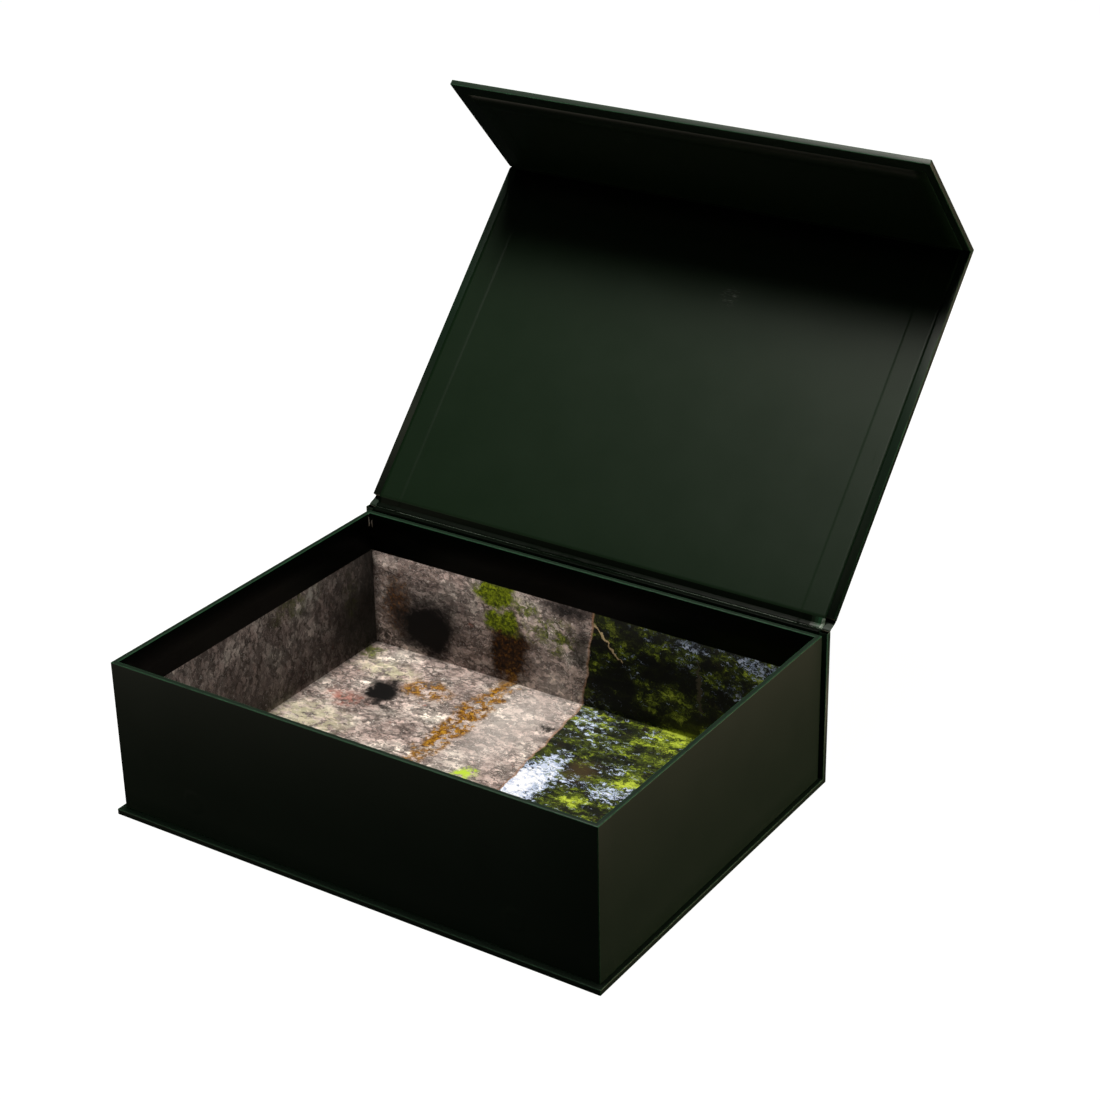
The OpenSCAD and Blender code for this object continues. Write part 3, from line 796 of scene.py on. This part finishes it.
def printed_picture():
    """Picture lining, offset-printed on coated paper: crisp fine colour under a slight gloss.
    The picture is a rock face beside trees, and runs on from the floor up the walls."""
    material, tree, surface = new_material(
        "picture paper offset printed", linear("7d7766"), Specular_IOR_Level=0.2, Roughness=0.55
    )
    place = add(tree, "ShaderNodeUVMap", uv_map="print")
    mm = add(tree, "ShaderNodeVectorMath", {0: place, 1: (1000, 1000, 0)}, operation="MULTIPLY")
    # Outlines wander by up to 7 mm, with finer and finer teeth
    wander = add(
        tree, "ShaderNodeTexNoise", {"Vector": mm, "Scale": 0.09, "Detail": 9.0, "Roughness": 0.72}
    )
    centred = add(
        tree, "ShaderNodeVectorMath", {0: wander.outputs["Color"], 1: (0.5, 0.5, 0.5)}, operation="SUBTRACT"
    )
    ragged = add(
        tree, "ShaderNodeVectorMath", {0: centred, 1: (26, 26, 0), 2: mm}, operation="MULTIPLY_ADD"
    )
    toothed = add(
        tree, "ShaderNodeTexNoise", {"Vector": mm, "Scale": 0.3, "Detail": 4.0, "Roughness": 0.6}
    )
    teeth = add(
        tree, "ShaderNodeVectorMath", {0: toothed.outputs["Color"], 1: (0.5, 0.5, 0.5)}, operation="SUBTRACT"
    )
    rock = rock_layer(tree, mm, ragged, teeth)
    leaves = foliage_layer(tree, mm, ragged, teeth)
    # The rock's edge: a slanted line on the floor, then upright on the back wall
    floor_edge = PICTURE_HIGH.y / MM
    axes = add(tree, "ShaderNodeSeparateXYZ", {0: mm})
    slant = add(
        tree, RANGE,
        {"Value": axes.outputs[1], "From Min": floor_edge - 95, "From Max": floor_edge,
         "To Min": 12.0, "To Max": 1.0}, clamp=False,
    )
    upright = add(
        tree, RANGE,
        {"Value": axes.outputs[1], "From Min": floor_edge, "From Max": floor_edge + 60,
         "To Min": 1.0, "To Max": 8.0},
    )
    line = add(tree, "ShaderNodeMath", {0: slant, 1: upright}, operation="MAXIMUM")
    wobble = add(
        tree, "ShaderNodeTexNoise", {"Vector": mm, "Scale": 0.05, "Detail": 6.0, "Roughness": 0.6}
    )
    wavy = add(tree, "ShaderNodeMath", {0: wobble, 1: 9.0, 2: line}, operation="MULTIPLY_ADD")
    past = add(tree, "ShaderNodeMath", {0: axes.outputs[0], 1: wavy}, operation="SUBTRACT")
    beyond = add(tree, RANGE, {"Value": past, "From Min": -4.9, "From Max": -4.1})
    rim_out = add(tree, RANGE, {"Value": past, "From Min": -4.0, "From Max": -4.8})
    rim_in = add(tree, RANGE, {"Value": past, "From Min": -6.0, "From Max": -5.0})
    rim = add(tree, "ShaderNodeMath", {0: rim_out, 1: rim_in}, operation="MULTIPLY")
    picture = laid_over(tree, rock, leaves, beyond)
    picture = laid_over(tree, picture, linear("9a6f4c"), rim, 0.6)
    # Painted shade: the print is darker on the tray's left wall, near black by the back left corner, and
    # among the back wall's trees
    wall_foot = PICTURE_LOW.x / MM
    left_wall_painted_shade = add(
        tree, RANGE,
        {"Value": axes.outputs[0], "From Min": wall_foot + 6, "From Max": wall_foot - 3, "To Max": 0.78},
    )
    picture = laid_over(tree, picture, linear("120c08"), left_wall_painted_shade)
    # Painted shade deepens to near black towards the back left corner
    nearer_back_corner = add(
        tree, RANGE,
        {"Value": axes.outputs[1], "From Min": floor_edge - 48, "From Max": floor_edge - 6, "To Max": 0.95},
    )
    back_corner_painted_shade = add(tree, "ShaderNodeMath", {0: left_wall_painted_shade, 1: nearer_back_corner}, operation="MULTIPLY")
    picture = laid_over(tree, picture, linear("030401"), back_corner_painted_shade)
    # Painted shade over the trees on the back wall, heavier in some clumps than in others
    shade = add(
        tree, RANGE, {"Value": axes.outputs[1], "From Min": floor_edge - 2, "From Max": floor_edge + 3}
    )
    clumps = add(tree, "ShaderNodeTexNoise", {"Vector": ragged, "Scale": 0.06, "Detail": 3.0})
    depth = add(
        tree, RANGE, {"Value": clumps, "From Min": 0.44, "From Max": 0.56, "To Min": 0.96, "To Max": 0.5}
    )
    among = add(tree, "ShaderNodeMath", {0: beyond, 1: depth}, operation="MULTIPLY")
    shaded = add(tree, "ShaderNodeMath", {0: shade, 1: among}, operation="MULTIPLY")
    picture = laid_over(tree, picture, linear("020301"), shaded)
    # A pale bare twig that hangs from the rock's edge, and a grey trunk among the trees
    bent = add(tree, "ShaderNodeVectorMath", {0: teeth, 1: (8, 8, 0), 2: mm}, operation="MULTIPLY_ADD")
    for start, end, width, tone, strength in (
        ((9, floor_edge + 54), (19, floor_edge + 42), 0.7, "a8946f", 1.0),
        ((18, floor_edge + 43), (27, floor_edge + 34), 0.6, "a8946f", 0.9),
        ((78, floor_edge + 16), (76, floor_edge + 50), 1.1, "332e22", 0.8),
    ):
        mark = streak(tree, bent, start, end, width)
        picture = laid_over(tree, picture, linear(tone), mark, strength)
    tree.links.new(picture, surface.inputs["Base Color"])
    paper = add(tree, "ShaderNodeTexNoise", {"Vector": mm, "Scale": 0.9, "Detail": 4.0})
    bump = add(tree, "ShaderNodeBump", {"Strength": 0.06, "Distance": 0.1 * MM, "Height": paper})
    tree.links.new(bump.outputs[0], surface.inputs["Normal"])
    return material


# ---- pieces ----


def settings():
    scene = bpy.context.scene
    return scene.box_sizes, scene.box_colours


def green_paper(name, tone, specular, roughness, **marks):
    """One finish of the green papers, made on first use and shared."""
    _, colours = settings()
    base, worn, bare = (list(getattr(colours, key)) for key in (tone, "worn", "bare"))
    found = bpy.data.materials.get(name)
    return found or dyed_paper(name, base, worn, bare, specular, roughness, **marks)


def cover_material():
    return green_paper("cover paper dyed and laminated", "cover", 0.24, 0.45)


def lining_material():
    scuffs = [(22.5, 171, 8, 0.16), (26, 173, 4, 0.1), (-45, 287, 3, 0.3)]
    return green_paper("lining paper dyed and laminated", "lining", 0.24, 0.4, scuffs=scuffs)


def edge_material():
    _, colours = settings()
    found = bpy.data.materials.get("paper edge cut")
    return found or paper_edge("paper edge cut", list(colours.worn))


def on_flap(u, w):
    """A place on the flap as (Y, Z) of the lid's frame."""
    place = FLAP_ON_LID @ Vector((0, u, w))
    return (place.y, place.z)


def in_lid(s, w):
    """A place on the lid as (Y, Z) of the box."""
    place = LID_FRAME @ Vector((0, s, w))
    return (place.y, place.z)


def gutter_curve(start, end, count):
    """The relaxed curve of the paper between the spine's top edge and the lid board."""
    a, d = Vector(start), Vector(end)
    b = a + Vector((0, 1.2 * MM))
    c = d - Vector((LID_UP.y, LID_UP.z)) * 2.5 * MM
    path = []
    for i in range(count + 1):
        t = i / count
        path.append(a * (1 - t) ** 3 + b * 3 * t * (1 - t) ** 2 + c * 3 * t * t * (1 - t) + d * t ** 3)
    return path


class BOX_OT_case_cover(bpy.types.Operator):
    """Makes the cover paper over the base, up the spine and through the gutter"""

    bl_idname = "box.case_cover"
    bl_label = "Case cover"

    def execute(self, context):
        sizes, _ = settings()
        inner_spine = SPINE_Y - PANEL_T
        bm = prism(
            [(BASE_FRONT, 0), (SPINE_Y, 0), (SPINE_Y, SPINE_TOP), (inner_spine, SPINE_TOP),
             (inner_spine, PANEL_T), (BASE_FRONT, PANEL_T)],
            [(0, 1, 4, 5), (1, 2, 3, 4)],
            CASE_HALF,
        )
        wear = bm.faces.layers.float.new("wear")
        remove_faces(bm, lambda c, n: n.z > 0.9 and c.z > SPINE_TOP - MM)
        bare_half, bare_front = CASE_HALF - sizes.turn_in, BASE_FRONT + sizes.turn_in
        for x in (-bare_half, bare_half):
            cut(bm, (x, 0, 0), (1, 0, 0))
        cut(bm, (0, bare_front, 0), (0, 1, 0))
        remove_faces(bm, lambda c, n: (
            abs(c.x) < bare_half and c.y > bare_front
            and ((n.z > 0.9 and c.z > PANEL_T / 2) or n.y < -0.9)
        ))
        ease_edges(bm, sizes.edge_round, wear)
        top = [
            e for e in bm.edges
            if e.is_boundary and all(v.co.z > SPINE_TOP - NEAR and v.co.y > SPINE_Y - NEAR for v in e.verts)
        ]
        path = gutter_curve((SPINE_Y, SPINE_TOP), in_lid(GUTTER, 0), 12)
        for before, after in zip(path, path[1:]):
            made = bmesh.ops.extrude_edge_only(bm, edges=top)["geom"]
            top = [e for e in made if isinstance(e, bmesh.types.BMEdge)]
            bmesh.ops.translate(
                bm, vec=(0, after.x - before.x, after.y - before.y),
                verts=verts_of(made),
            )
        # The turned-in paper also covers the ends of the spine board's top
        ends = [
            e for e in bm.edges
            if e.is_boundary and all(
                v.co.z > SPINE_TOP - NEAR and v.co.y < inner_spine + NEAR for v in e.verts
            )
        ]
        made = bmesh.ops.extrude_edge_only(bm, edges=ends)["geom"]
        bmesh.ops.translate(
            bm, vec=(0, PANEL_T - 0.3 * MM, 0), verts=verts_of(made)
        )
        bmesh.ops.recalc_face_normals(bm, faces=bm.faces)
        under = [f for f in bm.faces if f.calc_center_median().z < NEAR / 10]
        if sum(f.normal.z * f.calc_area() for f in under) > 0:
            bmesh.ops.reverse_faces(bm, faces=bm.faces)
        unwrap(bm, "sheet", by_side)
        piece = paper_piece(bm, "case_cover", [cover_material(), edge_material()], sizes.paper_t, rim=1)
        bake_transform(piece)
        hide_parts("base_cover_paper", "spine_cover_paper", "lid_hinge_cover_paper")
        return {"FINISHED"}


class BOX_OT_lid_cover(bpy.types.Operator):
    """Makes the cover paper over the lid, round the fold and over the flap"""

    bl_idname = "box.lid_cover"
    bl_label = "Lid cover"

    def execute(self, context):
        sizes, _ = settings()
        lip = PANEL_T + 0.42 * MM
        valley = PANEL_T - sizes.groove
        half = FLAP_ANGLE / 2
        bm = prism(
            [(GUTTER, 0), (FOLD_S, 0), on_flap(FLAP_LEN, 0), on_flap(FLAP_LEN, PANEL_T),
             on_flap(lip, PANEL_T),
             (FOLD_S - valley * math.tan(half), valley), (FOLD_S - lip, PANEL_T), (GUTTER, PANEL_T)],
            [(0, 1, 5, 6, 7), (1, 2, 3, 4, 5)],
            CASE_HALF,
        )
        wear = bm.faces.layers.float.new("wear")
        remove_faces(bm, lambda c, n: n.y < -0.9 and c.y < GUTTER + NEAR)
        bare_half = CASE_HALF - sizes.turn_in
        for x in (-bare_half, bare_half):
            cut(bm, (x, 0, 0), (1, 0, 0))
        flap_along = Vector((0, math.cos(FLAP_ANGLE), math.sin(FLAP_ANGLE)))
        flap_in = Vector((0, -flap_along.z, flap_along.y))
        bare_end = Vector((0, *on_flap(FLAP_LEN - sizes.turn_in, 0)))
        cut(bm, bare_end, flap_along)

        def uncovered(c, n):
            if abs(c.x) > bare_half or (c - bare_end).dot(flap_along) > 0:
                return False
            groove = 0 < (c - Vector((0, FOLD_S - lip, 0))).y < 2 * lip and n.x ** 2 < 0.1 and c.z > MM
            return n.z > 0.9 or n.dot(flap_in) > 0.9 or (groove and n.y < 0 and c.z < 2 * PANEL_T)

        remove_faces(bm, uncovered)
        ease_edges(bm, sizes.edge_round, wear)
        unwrap(bm, "sheet", by_side)
        bmesh.ops.transform(bm, matrix=LID_FRAME, verts=bm.verts)
        piece = paper_piece(bm, "lid_cover", [cover_material(), edge_material()], sizes.paper_t, rim=1)
        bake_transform(piece)
        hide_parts("lid_cover_paper", "flap_hinge_cover_paper", "flap_cover_paper")
        return {"FINISHED"}


class BOX_OT_lid_lining(bpy.types.Operator):
    """Makes the lining sheet up the spine, over its top edge, through the gutter and over the lid"""

    bl_idname = "box.lid_lining"
    bl_label = "Spine and lid lining"

    def execute(self, context):
        sizes, _ = settings()
        t = sizes.paper_t
        spine_face = SPINE_Y - PANEL_T
        before = rounded(
            [(spine_face, PANEL_T + 2 * t), (spine_face, SPINE_TOP + t), (SPINE_Y - 2 * t, SPINE_TOP + t)],
            0.6 * MM,
        )
        # In the gutter it lies on the cover paper, then slants up to the lid board's inner edge
        under = gutter_curve((SPINE_Y, SPINE_TOP), in_lid(GUTTER, 0), 24)
        dip = []
        for a, b in zip(under, under[1:]):
            along = (b - a).normalized()
            dip.append(a + Vector((-along.y, along.x)) * 1.3 * t)
            if (under[-1] - b).length < sizes.tent:
                break
        rise = rounded(
            [dip[-1], in_lid(GUTTER - t, PANEL_T), in_lid(FOLD_S - PANEL_T - 0.45 * MM, PANEL_T)],
            1.2 * MM,
        )
        path = before + dip[:-1] + rise
        lengths = arc_lengths(path)
        dip_start, dip_end = lengths[len(before) - 1], lengths[len(before) + len(dip) - 1]
        lid_start = lengths[-1] - (FOLD_S - PANEL_T - 0.45 * MM - GUTTER)
        bare_half = CASE_HALF - sizes.turn_in
        ridge = [sign * (bare_half + part * sizes.step) for sign in (-1, 1) for part in (-0.5, 0, 0.5)]
        crossings = spread(-LINING_HALF, LINING_HALF, 150) + ridge
        bends = [s for s in lengths[1:-1] if s < lid_start + 2 * MM]
        rows = bends + spread(dip_start, dip_end, 16) + spread(lid_start + 3 * MM, lengths[-1], 8)
        bm = flat_sheet(LINING_HALF, lengths[-1], crossings, rows)
        unwrap(bm, "sheet", lambda co, normal: (co.x, co.y - lid_start + GUTTER))
        wear = bm.faces.layers.float.new("wear")
        crease = lengths[len(before) - 1]
        for face in bm.faces:
            c = face.calc_center_median()
            patchy = noise.noise(Vector((c.x / (14 * MM), 3.0, 0)))
            middle = math.exp(-((c.x + 5 * MM) / (28 * MM)) ** 2)
            worn_end = smooth(c.x / (10 * MM) - 13.8)
            if abs(c.y - crease) < 0.35 * MM:
                face[wear] = 1.55 + 0.2 * patchy - 0.45 * middle + 0.35 * smooth(c.x / (40 * MM) - 1.5)
            # Painted shade: the lining up the spine and over its top is darkened, and so is the gutter, all
            # but its worn right end
            elif c.y < crease:
                face[wear] = -0.9
            elif c.y < lid_start - MM:
                face[wear] = -0.85 + 2.3 * worn_end

        def lift(x, s):
            over_turn_in = t * smooth((abs(x) - bare_half) / sizes.step + 0.5)
            if not dip_start < s < dip_end:
                return over_turn_in
            depth = math.sin(math.pi * (s - dip_start) / (dip_end - dip_start))
            middle = math.exp(-((x + 5 * MM) / (45 * MM)) ** 2)
            folds = noise.noise(Vector((x / (9 * MM), s / (2 * MM), 0)))
            long_wave = noise.noise(Vector((x / (40 * MM), 7.0, 0)))
            return over_turn_in + depth * sizes.wrinkle * (
                0.6 * abs(long_wave) + (0.35 + 1.6 * middle) * abs(folds) + 0.6 * middle
            )

        lay_on(bm, path, lift)
        # The parts deepest in painted shade also get a dull finish
        dull = green_paper("lining paper unrubbed and dull", "lining", 0.06, 0.45)
        finishes = [lining_material(), edge_material(), dull, edge_material()]
        piece = paper_piece(bm, "lid_lining", finishes, t, rim=1, even=False)
        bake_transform(piece)
        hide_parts("spine_lining_paper", "lid_hinge_lining_paper", "lid_lining_paper")
        return {"FINISHED"}


class BOX_OT_flap_lining(bpy.types.Operator):
    """Makes the lining sheet from the fold's groove over the flap"""

    bl_idname = "box.flap_lining"
    bl_label = "Flap lining"

    def execute(self, context):
        sizes, _ = settings()
        t = sizes.paper_t
        lip = PANEL_T + 0.45 * MM
        half = FLAP_ANGLE / 2
        valley = PANEL_T - sizes.groove + t
        flat = [
            (FOLD_S - lip, PANEL_T), (FOLD_S - valley * math.tan(half), valley),
            on_flap(lip, PANEL_T), on_flap(FLAP_LINING_END, PANEL_T),
        ]
        path = rounded([in_lid(*point) for point in flat], 0.5 * MM)
        lengths = arc_lengths(path)
        flap_start = lengths[-1] - (FLAP_LINING_END - lip)
        bare_half = CASE_HALF - sizes.turn_in
        step_s = lengths[-1] - (FLAP_LINING_END - (FLAP_LEN - sizes.turn_in))
        ridge = [sign * (bare_half + part * sizes.step) for sign in (-1, 1) for part in (-0.5, 0, 0.5)]
        bends = [s for s in lengths[1:-1] if s < flap_start + 2 * MM]
        steps = [step_s + part * sizes.step for part in (-0.5, 0, 0.5)]
        bm = flat_sheet(
            LINING_HALF, lengths[-1], spread(-LINING_HALF, LINING_HALF, 40) + ridge,
            bends + spread(flap_start, lengths[-1], 6) + steps,
        )
        unwrap(bm, "sheet", lambda co, normal: (co.x, co.y - flap_start + FOLD_S + lip))
        bm.faces.layers.float.new("wear")

        def lift(x, s):
            sides = smooth((abs(x) - bare_half) / sizes.step + 0.5)
            end = smooth((s - step_s) / sizes.step + 0.5)
            return t * max(sides, end)

        lay_on(bm, path, lift)
        piece = paper_piece(bm, "flap_lining", [lining_material(), edge_material()], t, rim=1)
        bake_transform(piece)
        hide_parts("flap_lining_paper", "flap_hinge_lining_paper")
        return {"FINISHED"}


class BOX_OT_tray_wrap(bpy.types.Operator):
    """Makes the wrap paper round the tray, over its rim, down inside and in under the floor"""

    bl_idname = "box.tray_wrap"
    bl_label = "Tray wrap"

    def execute(self, context):
        sizes, _ = settings()
        half_w, half_d = TRAY_HIGH.x, TRAY_HIGH.y
        wall = half_w - (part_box("tray_right_board")[0].x - sizes.paper_t)
        drop = TRAY_HIGH.z - PICTURE_HIGH.z
        bm = bmesh.new()
        bmesh.ops.create_cube(bm, size=1)
        bmesh.ops.scale(bm, vec=(2 * half_w, 2 * half_d, TRAY_HIGH.z - TRAY_LOW.z), verts=bm.verts)
        bmesh.ops.translate(bm, vec=(0, 0, (TRAY_HIGH.z + TRAY_LOW.z) / 2), verts=bm.verts)
        wear = bm.faces.layers.float.new("wear")
        top = [f for f in bm.faces if f.normal.z > 0.9]
        bottom = [f for f in bm.faces if f.normal.z < -0.9]
        bmesh.ops.inset_region(bm, faces=top, thickness=wall, use_even_offset=True)
        bmesh.ops.inset_region(bm, faces=bottom, thickness=15 * MM, use_even_offset=True)
        bmesh.ops.delete(bm, geom=bottom, context="FACES")
        made = bmesh.ops.extrude_face_region(bm, geom=top)["geom"]
        bmesh.ops.translate(
            bm, vec=(0, 0, -drop), verts=verts_of(made)
        )
        lids = [f for f in made if isinstance(f, bmesh.types.BMFace)]
        bmesh.ops.delete(bm, geom=lids + [f for f in top if f.is_valid], context="FACES")
        bmesh.ops.recalc_face_normals(bm, faces=bm.faces)
        rim = [f for f in bm.faces if f.calc_center_median().z > TRAY_HIGH.z - NEAR]
        if sum(f.normal.z * f.calc_area() for f in rim) < 0:
            bmesh.ops.reverse_faces(bm, faces=bm.faces)
        ease_edges(bm, sizes.edge_round, wear)
        bm.normal_update()
        # Painted shade: the turned-in paper on the tray's inner walls is darkened
        for face in bm.faces:
            c = face.calc_center_median()
            if abs(face.normal.z) < 0.1 and abs(c.x) < half_w - wall / 2 and abs(c.y) < half_d - wall / 2:
                face[wear] = -1.0
        # Cuts for the overlaps beside the corners and for the magnets' discs
        seam = half_d - sizes.overlap
        for sign in (-1, 1):
            for part in (-0.5, 0.5):
                cut(bm, (0, sign * seam + part * sizes.step, 0), (0, 1, 0))
        low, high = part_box("tray_magnet_left")
        middle_z = (low.z + high.z) / 2
        middle_x = abs(low.x + high.x) / 2
        reach = sizes.magnet_r * 1.3
        for i in range(17):
            offset = reach * (i / 8 - 1)
            cut(bm, (0, 0, middle_z + offset), (0, 0, 1))
            for sign in (-1, 1):
                cut(bm, (sign * middle_x + offset, 0, 0), (1, 0, 0))
        for v in bm.verts:
            x, y, z = v.co
            if abs(x) > half_w - NEAR:
                v.co.x += math.copysign(0.7 * sizes.paper_t, x) * smooth((abs(y) - seam) / sizes.step + 0.5)
            if y < -half_d + NEAR:
                away = math.hypot(abs(x) - middle_x, z - middle_z)
                v.co.y -= sizes.magnet_show * smooth((sizes.magnet_r + MM - away) / (1.8 * MM))
        unwrap(bm, "sheet", by_side)
        # The inner walls in painted shade also get a dull finish, with white chips down one corner
        dull = green_paper("cover paper unrubbed and dull", "cover", 0.02, 0.45, chips=inner_corner_chips)
        finishes = [cover_material(), edge_material(), dull, edge_material()]
        piece = paper_piece(bm, "tray_wrap", finishes, sizes.paper_t, rim=1)
        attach(piece, "tray")
        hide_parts("tray_wrap_paper")
        return {"FINISHED"}


class BOX_OT_picture(bpy.types.Operator):
    """Makes the printed sheet, cut as a cross, on the tray's floor and walls"""

    bl_idname = "box.picture"
    bl_label = "Picture lining"

    def execute(self, context):
        sizes, _ = settings()
        t = sizes.paper_t
        half_w, half_d, floor_z = PICTURE_HIGH.x - t, PICTURE_HIGH.y - t, PICTURE_LOW.z + t
        bm = bmesh.new()
        bmesh.ops.create_grid(bm, x_segments=1, y_segments=1, size=0.5)
        bmesh.ops.scale(bm, vec=(2 * half_w, 2 * half_d, 1), verts=bm.verts)
        bmesh.ops.translate(bm, vec=(0, 0, floor_z), verts=bm.verts)
        for edge in bm.edges[:]:
            made = bmesh.ops.extrude_edge_only(bm, edges=[edge])["geom"]
            risen = verts_of(made)
            bmesh.ops.translate(bm, vec=(0, 0, PICTURE_HIGH.z - floor_z), verts=risen)
        bmesh.ops.recalc_face_normals(bm, faces=bm.faces)
        floor = next(f for f in bm.faces if abs(f.normal.z) > 0.9)
        if floor.normal.z < 0:
            bmesh.ops.reverse_faces(bm, faces=bm.faces)

        def unfolded(co, normal):
            up = co.z - floor_z
            along_x = math.copysign(up, -normal.x) if abs(normal.x) > 0.5 else 0.0
            along_y = math.copysign(up, -normal.y) if abs(normal.y) > 0.5 else 0.0
            return (co.x + along_x, co.y + along_y)

        unwrap(bm, "print", unfolded)
        piece = paper_piece(bm, "picture_print", [printed_picture(), edge_material()], t)
        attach(piece, "tray")
        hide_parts("picture_lining")
        return {"FINISHED"}


class BOX_OT_core(bpy.types.Operator):
    """Finishes the boards, the corner stays and the magnets inside the papers"""

    bl_idname = "box.core"
    bl_label = "Boards, stays and magnets"

    def execute(self, context):
        _, colours = settings()
        finishes = {
            "_board": (greyboard(list(colours.board)), "greyboard"),
            "corner_stay": (kraft_stay(list(colours.stay)), "stay_paper"),
            "magnet": (plated_nickel(list(colours.nickel)), "magnet_nickel"),
        }
        for name, node in frame["nodes"].items():
            for part, (material, slot_name) in finishes.items():
                if part in name:
                    node.data.materials.clear()
                    node.data.materials.append(material)
        return {"FINISHED"}


class BOX_OT_stage(bpy.types.Operator):
    """Makes the camera, the pale floor and the soft studio lights"""

    bl_idname = "box.stage"
    bl_label = "Studio"

    def execute(self, context):
        _, colours = settings()
        scene = context.scene
        azimuth, elevation, roll = (math.radians(a) for a in (32.385, 25.2, -0.409))
        back = Vector((
            math.sin(azimuth) * math.cos(elevation), -math.cos(azimuth) * math.cos(elevation),
            math.sin(elevation),
        ))
        level = (-back).cross(Vector((0, 0, 1))).normalized()
        upright = level.cross(-back)
        right = level * math.cos(roll) + upright * math.sin(roll)
        up = upright * math.cos(roll) - level * math.sin(roll)
        data = bpy.data.cameras.new("Camera")
        data.sensor_width = 36
        data.lens = 79.58
        data.shift_x, data.shift_y = -0.068, -0.0331
        data.clip_start, data.clip_end = 0.01, 50
        camera = bpy.data.objects.new("Camera", data)
        scene.collection.objects.link(camera)
        distance, aside, above = 1307.7 * MM, 80.6 * MM, 153.04 * MM
        camera.matrix_world = Matrix.Translation(
            back * distance + right * aside + up * above
        ) @ Matrix((right, up, back)).transposed().to_4x4()
        scene.camera = camera

        bm = bmesh.new()
        bmesh.ops.create_grid(bm, x_segments=1, y_segments=1, size=15)
        mesh = bpy.data.meshes.new("floor")
        bm.to_mesh(mesh)
        bm.free()
        floor = bpy.data.objects.new("floor", mesh)
        scene.collection.objects.link(floor)
        # Matt white sweep, lit from below as well, so that it stays even and almost without shadow
        material, tree, surface = new_material(
            "white sweep backlit", list(colours.floor), Roughness=1.0, Specular_IOR_Level=0.0,
            Emission_Strength=1.04,
        )
        surface.inputs["Base Color"].default_value = (0.09, 0.09, 0.09, 1)
        surface.inputs["Emission Color"].default_value = list(colours.floor)
        mesh.materials.append(material)
        floor.visible_diffuse = False
        floor.visible_glossy = False

        world = bpy.data.worlds.new("studio")
        scene.world = world
        world.use_nodes = True
        # White where the camera sees it past the floor, and almost dark as a light
        tree = world.node_tree
        background = tree.nodes["Background"]
        background.inputs["Color"].default_value = linear("f9fafc")
        seen = add(tree, "ShaderNodeLightPath").outputs["Is Camera Ray"]
        strength = add(tree, RANGE, {"Value": seen, "To Min": 0.015, "To Max": 1.05})
        tree.links.new(strength.outputs[0], background.inputs["Strength"])

        # (name, place, target, size in metres, watts, colour)
        lamps = [
            ("key_overhead", (-0.1, 0.05, 1.5), (0.0, 0.0, 0.1), (0.4, 0.6), 27.0, "fffaf2"),
            ("warm_right", (1.3, 0.6, 0.055), (0.15, 0.0, 0.05), (1.1, 0.08), 13.0, "ffe6c4"),
            ("fill_left", (-0.9, -1.0, 0.055), (-0.15, -0.11, 0.05), (0.6, 0.08), 2.2, "fff0dc"),
        ]
        for name, place, target, size, power, tone in lamps:
            light = bpy.data.lights.new(name, "AREA")
            light.shape = "RECTANGLE"
            light.size, light.size_y = size
            light.energy = power
            light.color = linear(tone)[:3]
            lamp = bpy.data.objects.new(name, light)
            scene.collection.objects.link(lamp)
            aim = (Vector(target) - Vector(place)).to_track_quat("-Z", "Y")
            lamp.matrix_world = Matrix.Translation(place) @ aim.to_matrix().to_4x4()
        scene.view_settings.view_transform = "Standard"
        scene.view_settings.look = "None"
        return {"FINISHED"}


OPERATORS = (
    BOX_OT_stage, BOX_OT_case_cover, BOX_OT_lid_cover, BOX_OT_lid_lining, BOX_OT_flap_lining,
    BOX_OT_tray_wrap, BOX_OT_picture, BOX_OT_core,
)


class BOX_PT_panel(bpy.types.Panel):
    """Lists what makes the box's papers"""

    bl_label = "Book-style box"
    bl_idname = "BOX_PT_panel"
    bl_space_type = "VIEW_3D"
    bl_region_type = "UI"
    bl_category = "Box"

    def draw(self, context):
        for group in (context.scene.box_sizes, context.scene.box_colours):
            for key in group.__annotations__:
                self.layout.prop(group, key)
        for operator in OPERATORS:
            self.layout.operator(operator.bl_idname)


CLASSES = (BoxSizes, BoxColours, *OPERATORS, BOX_PT_panel)


def register():
    for cls in CLASSES:
        bpy.utils.register_class(cls)
    bpy.types.Scene.box_sizes = bpy.props.PointerProperty(type=BoxSizes)
    bpy.types.Scene.box_colours = bpy.props.PointerProperty(type=BoxColours)


def unregister():
    del bpy.types.Scene.box_colours
    del bpy.types.Scene.box_sizes
    for cls in reversed(CLASSES):
        bpy.utils.unregister_class(cls)


def main():
    register()
    bpy.ops.box.stage()
    bpy.ops.box.case_cover()
    bpy.ops.box.lid_cover()
    bpy.ops.box.lid_lining()
    bpy.ops.box.flap_lining()
    bpy.ops.box.tray_wrap()
    bpy.ops.box.picture()
    bpy.ops.box.core()


if __name__ == "__main__":
    main()
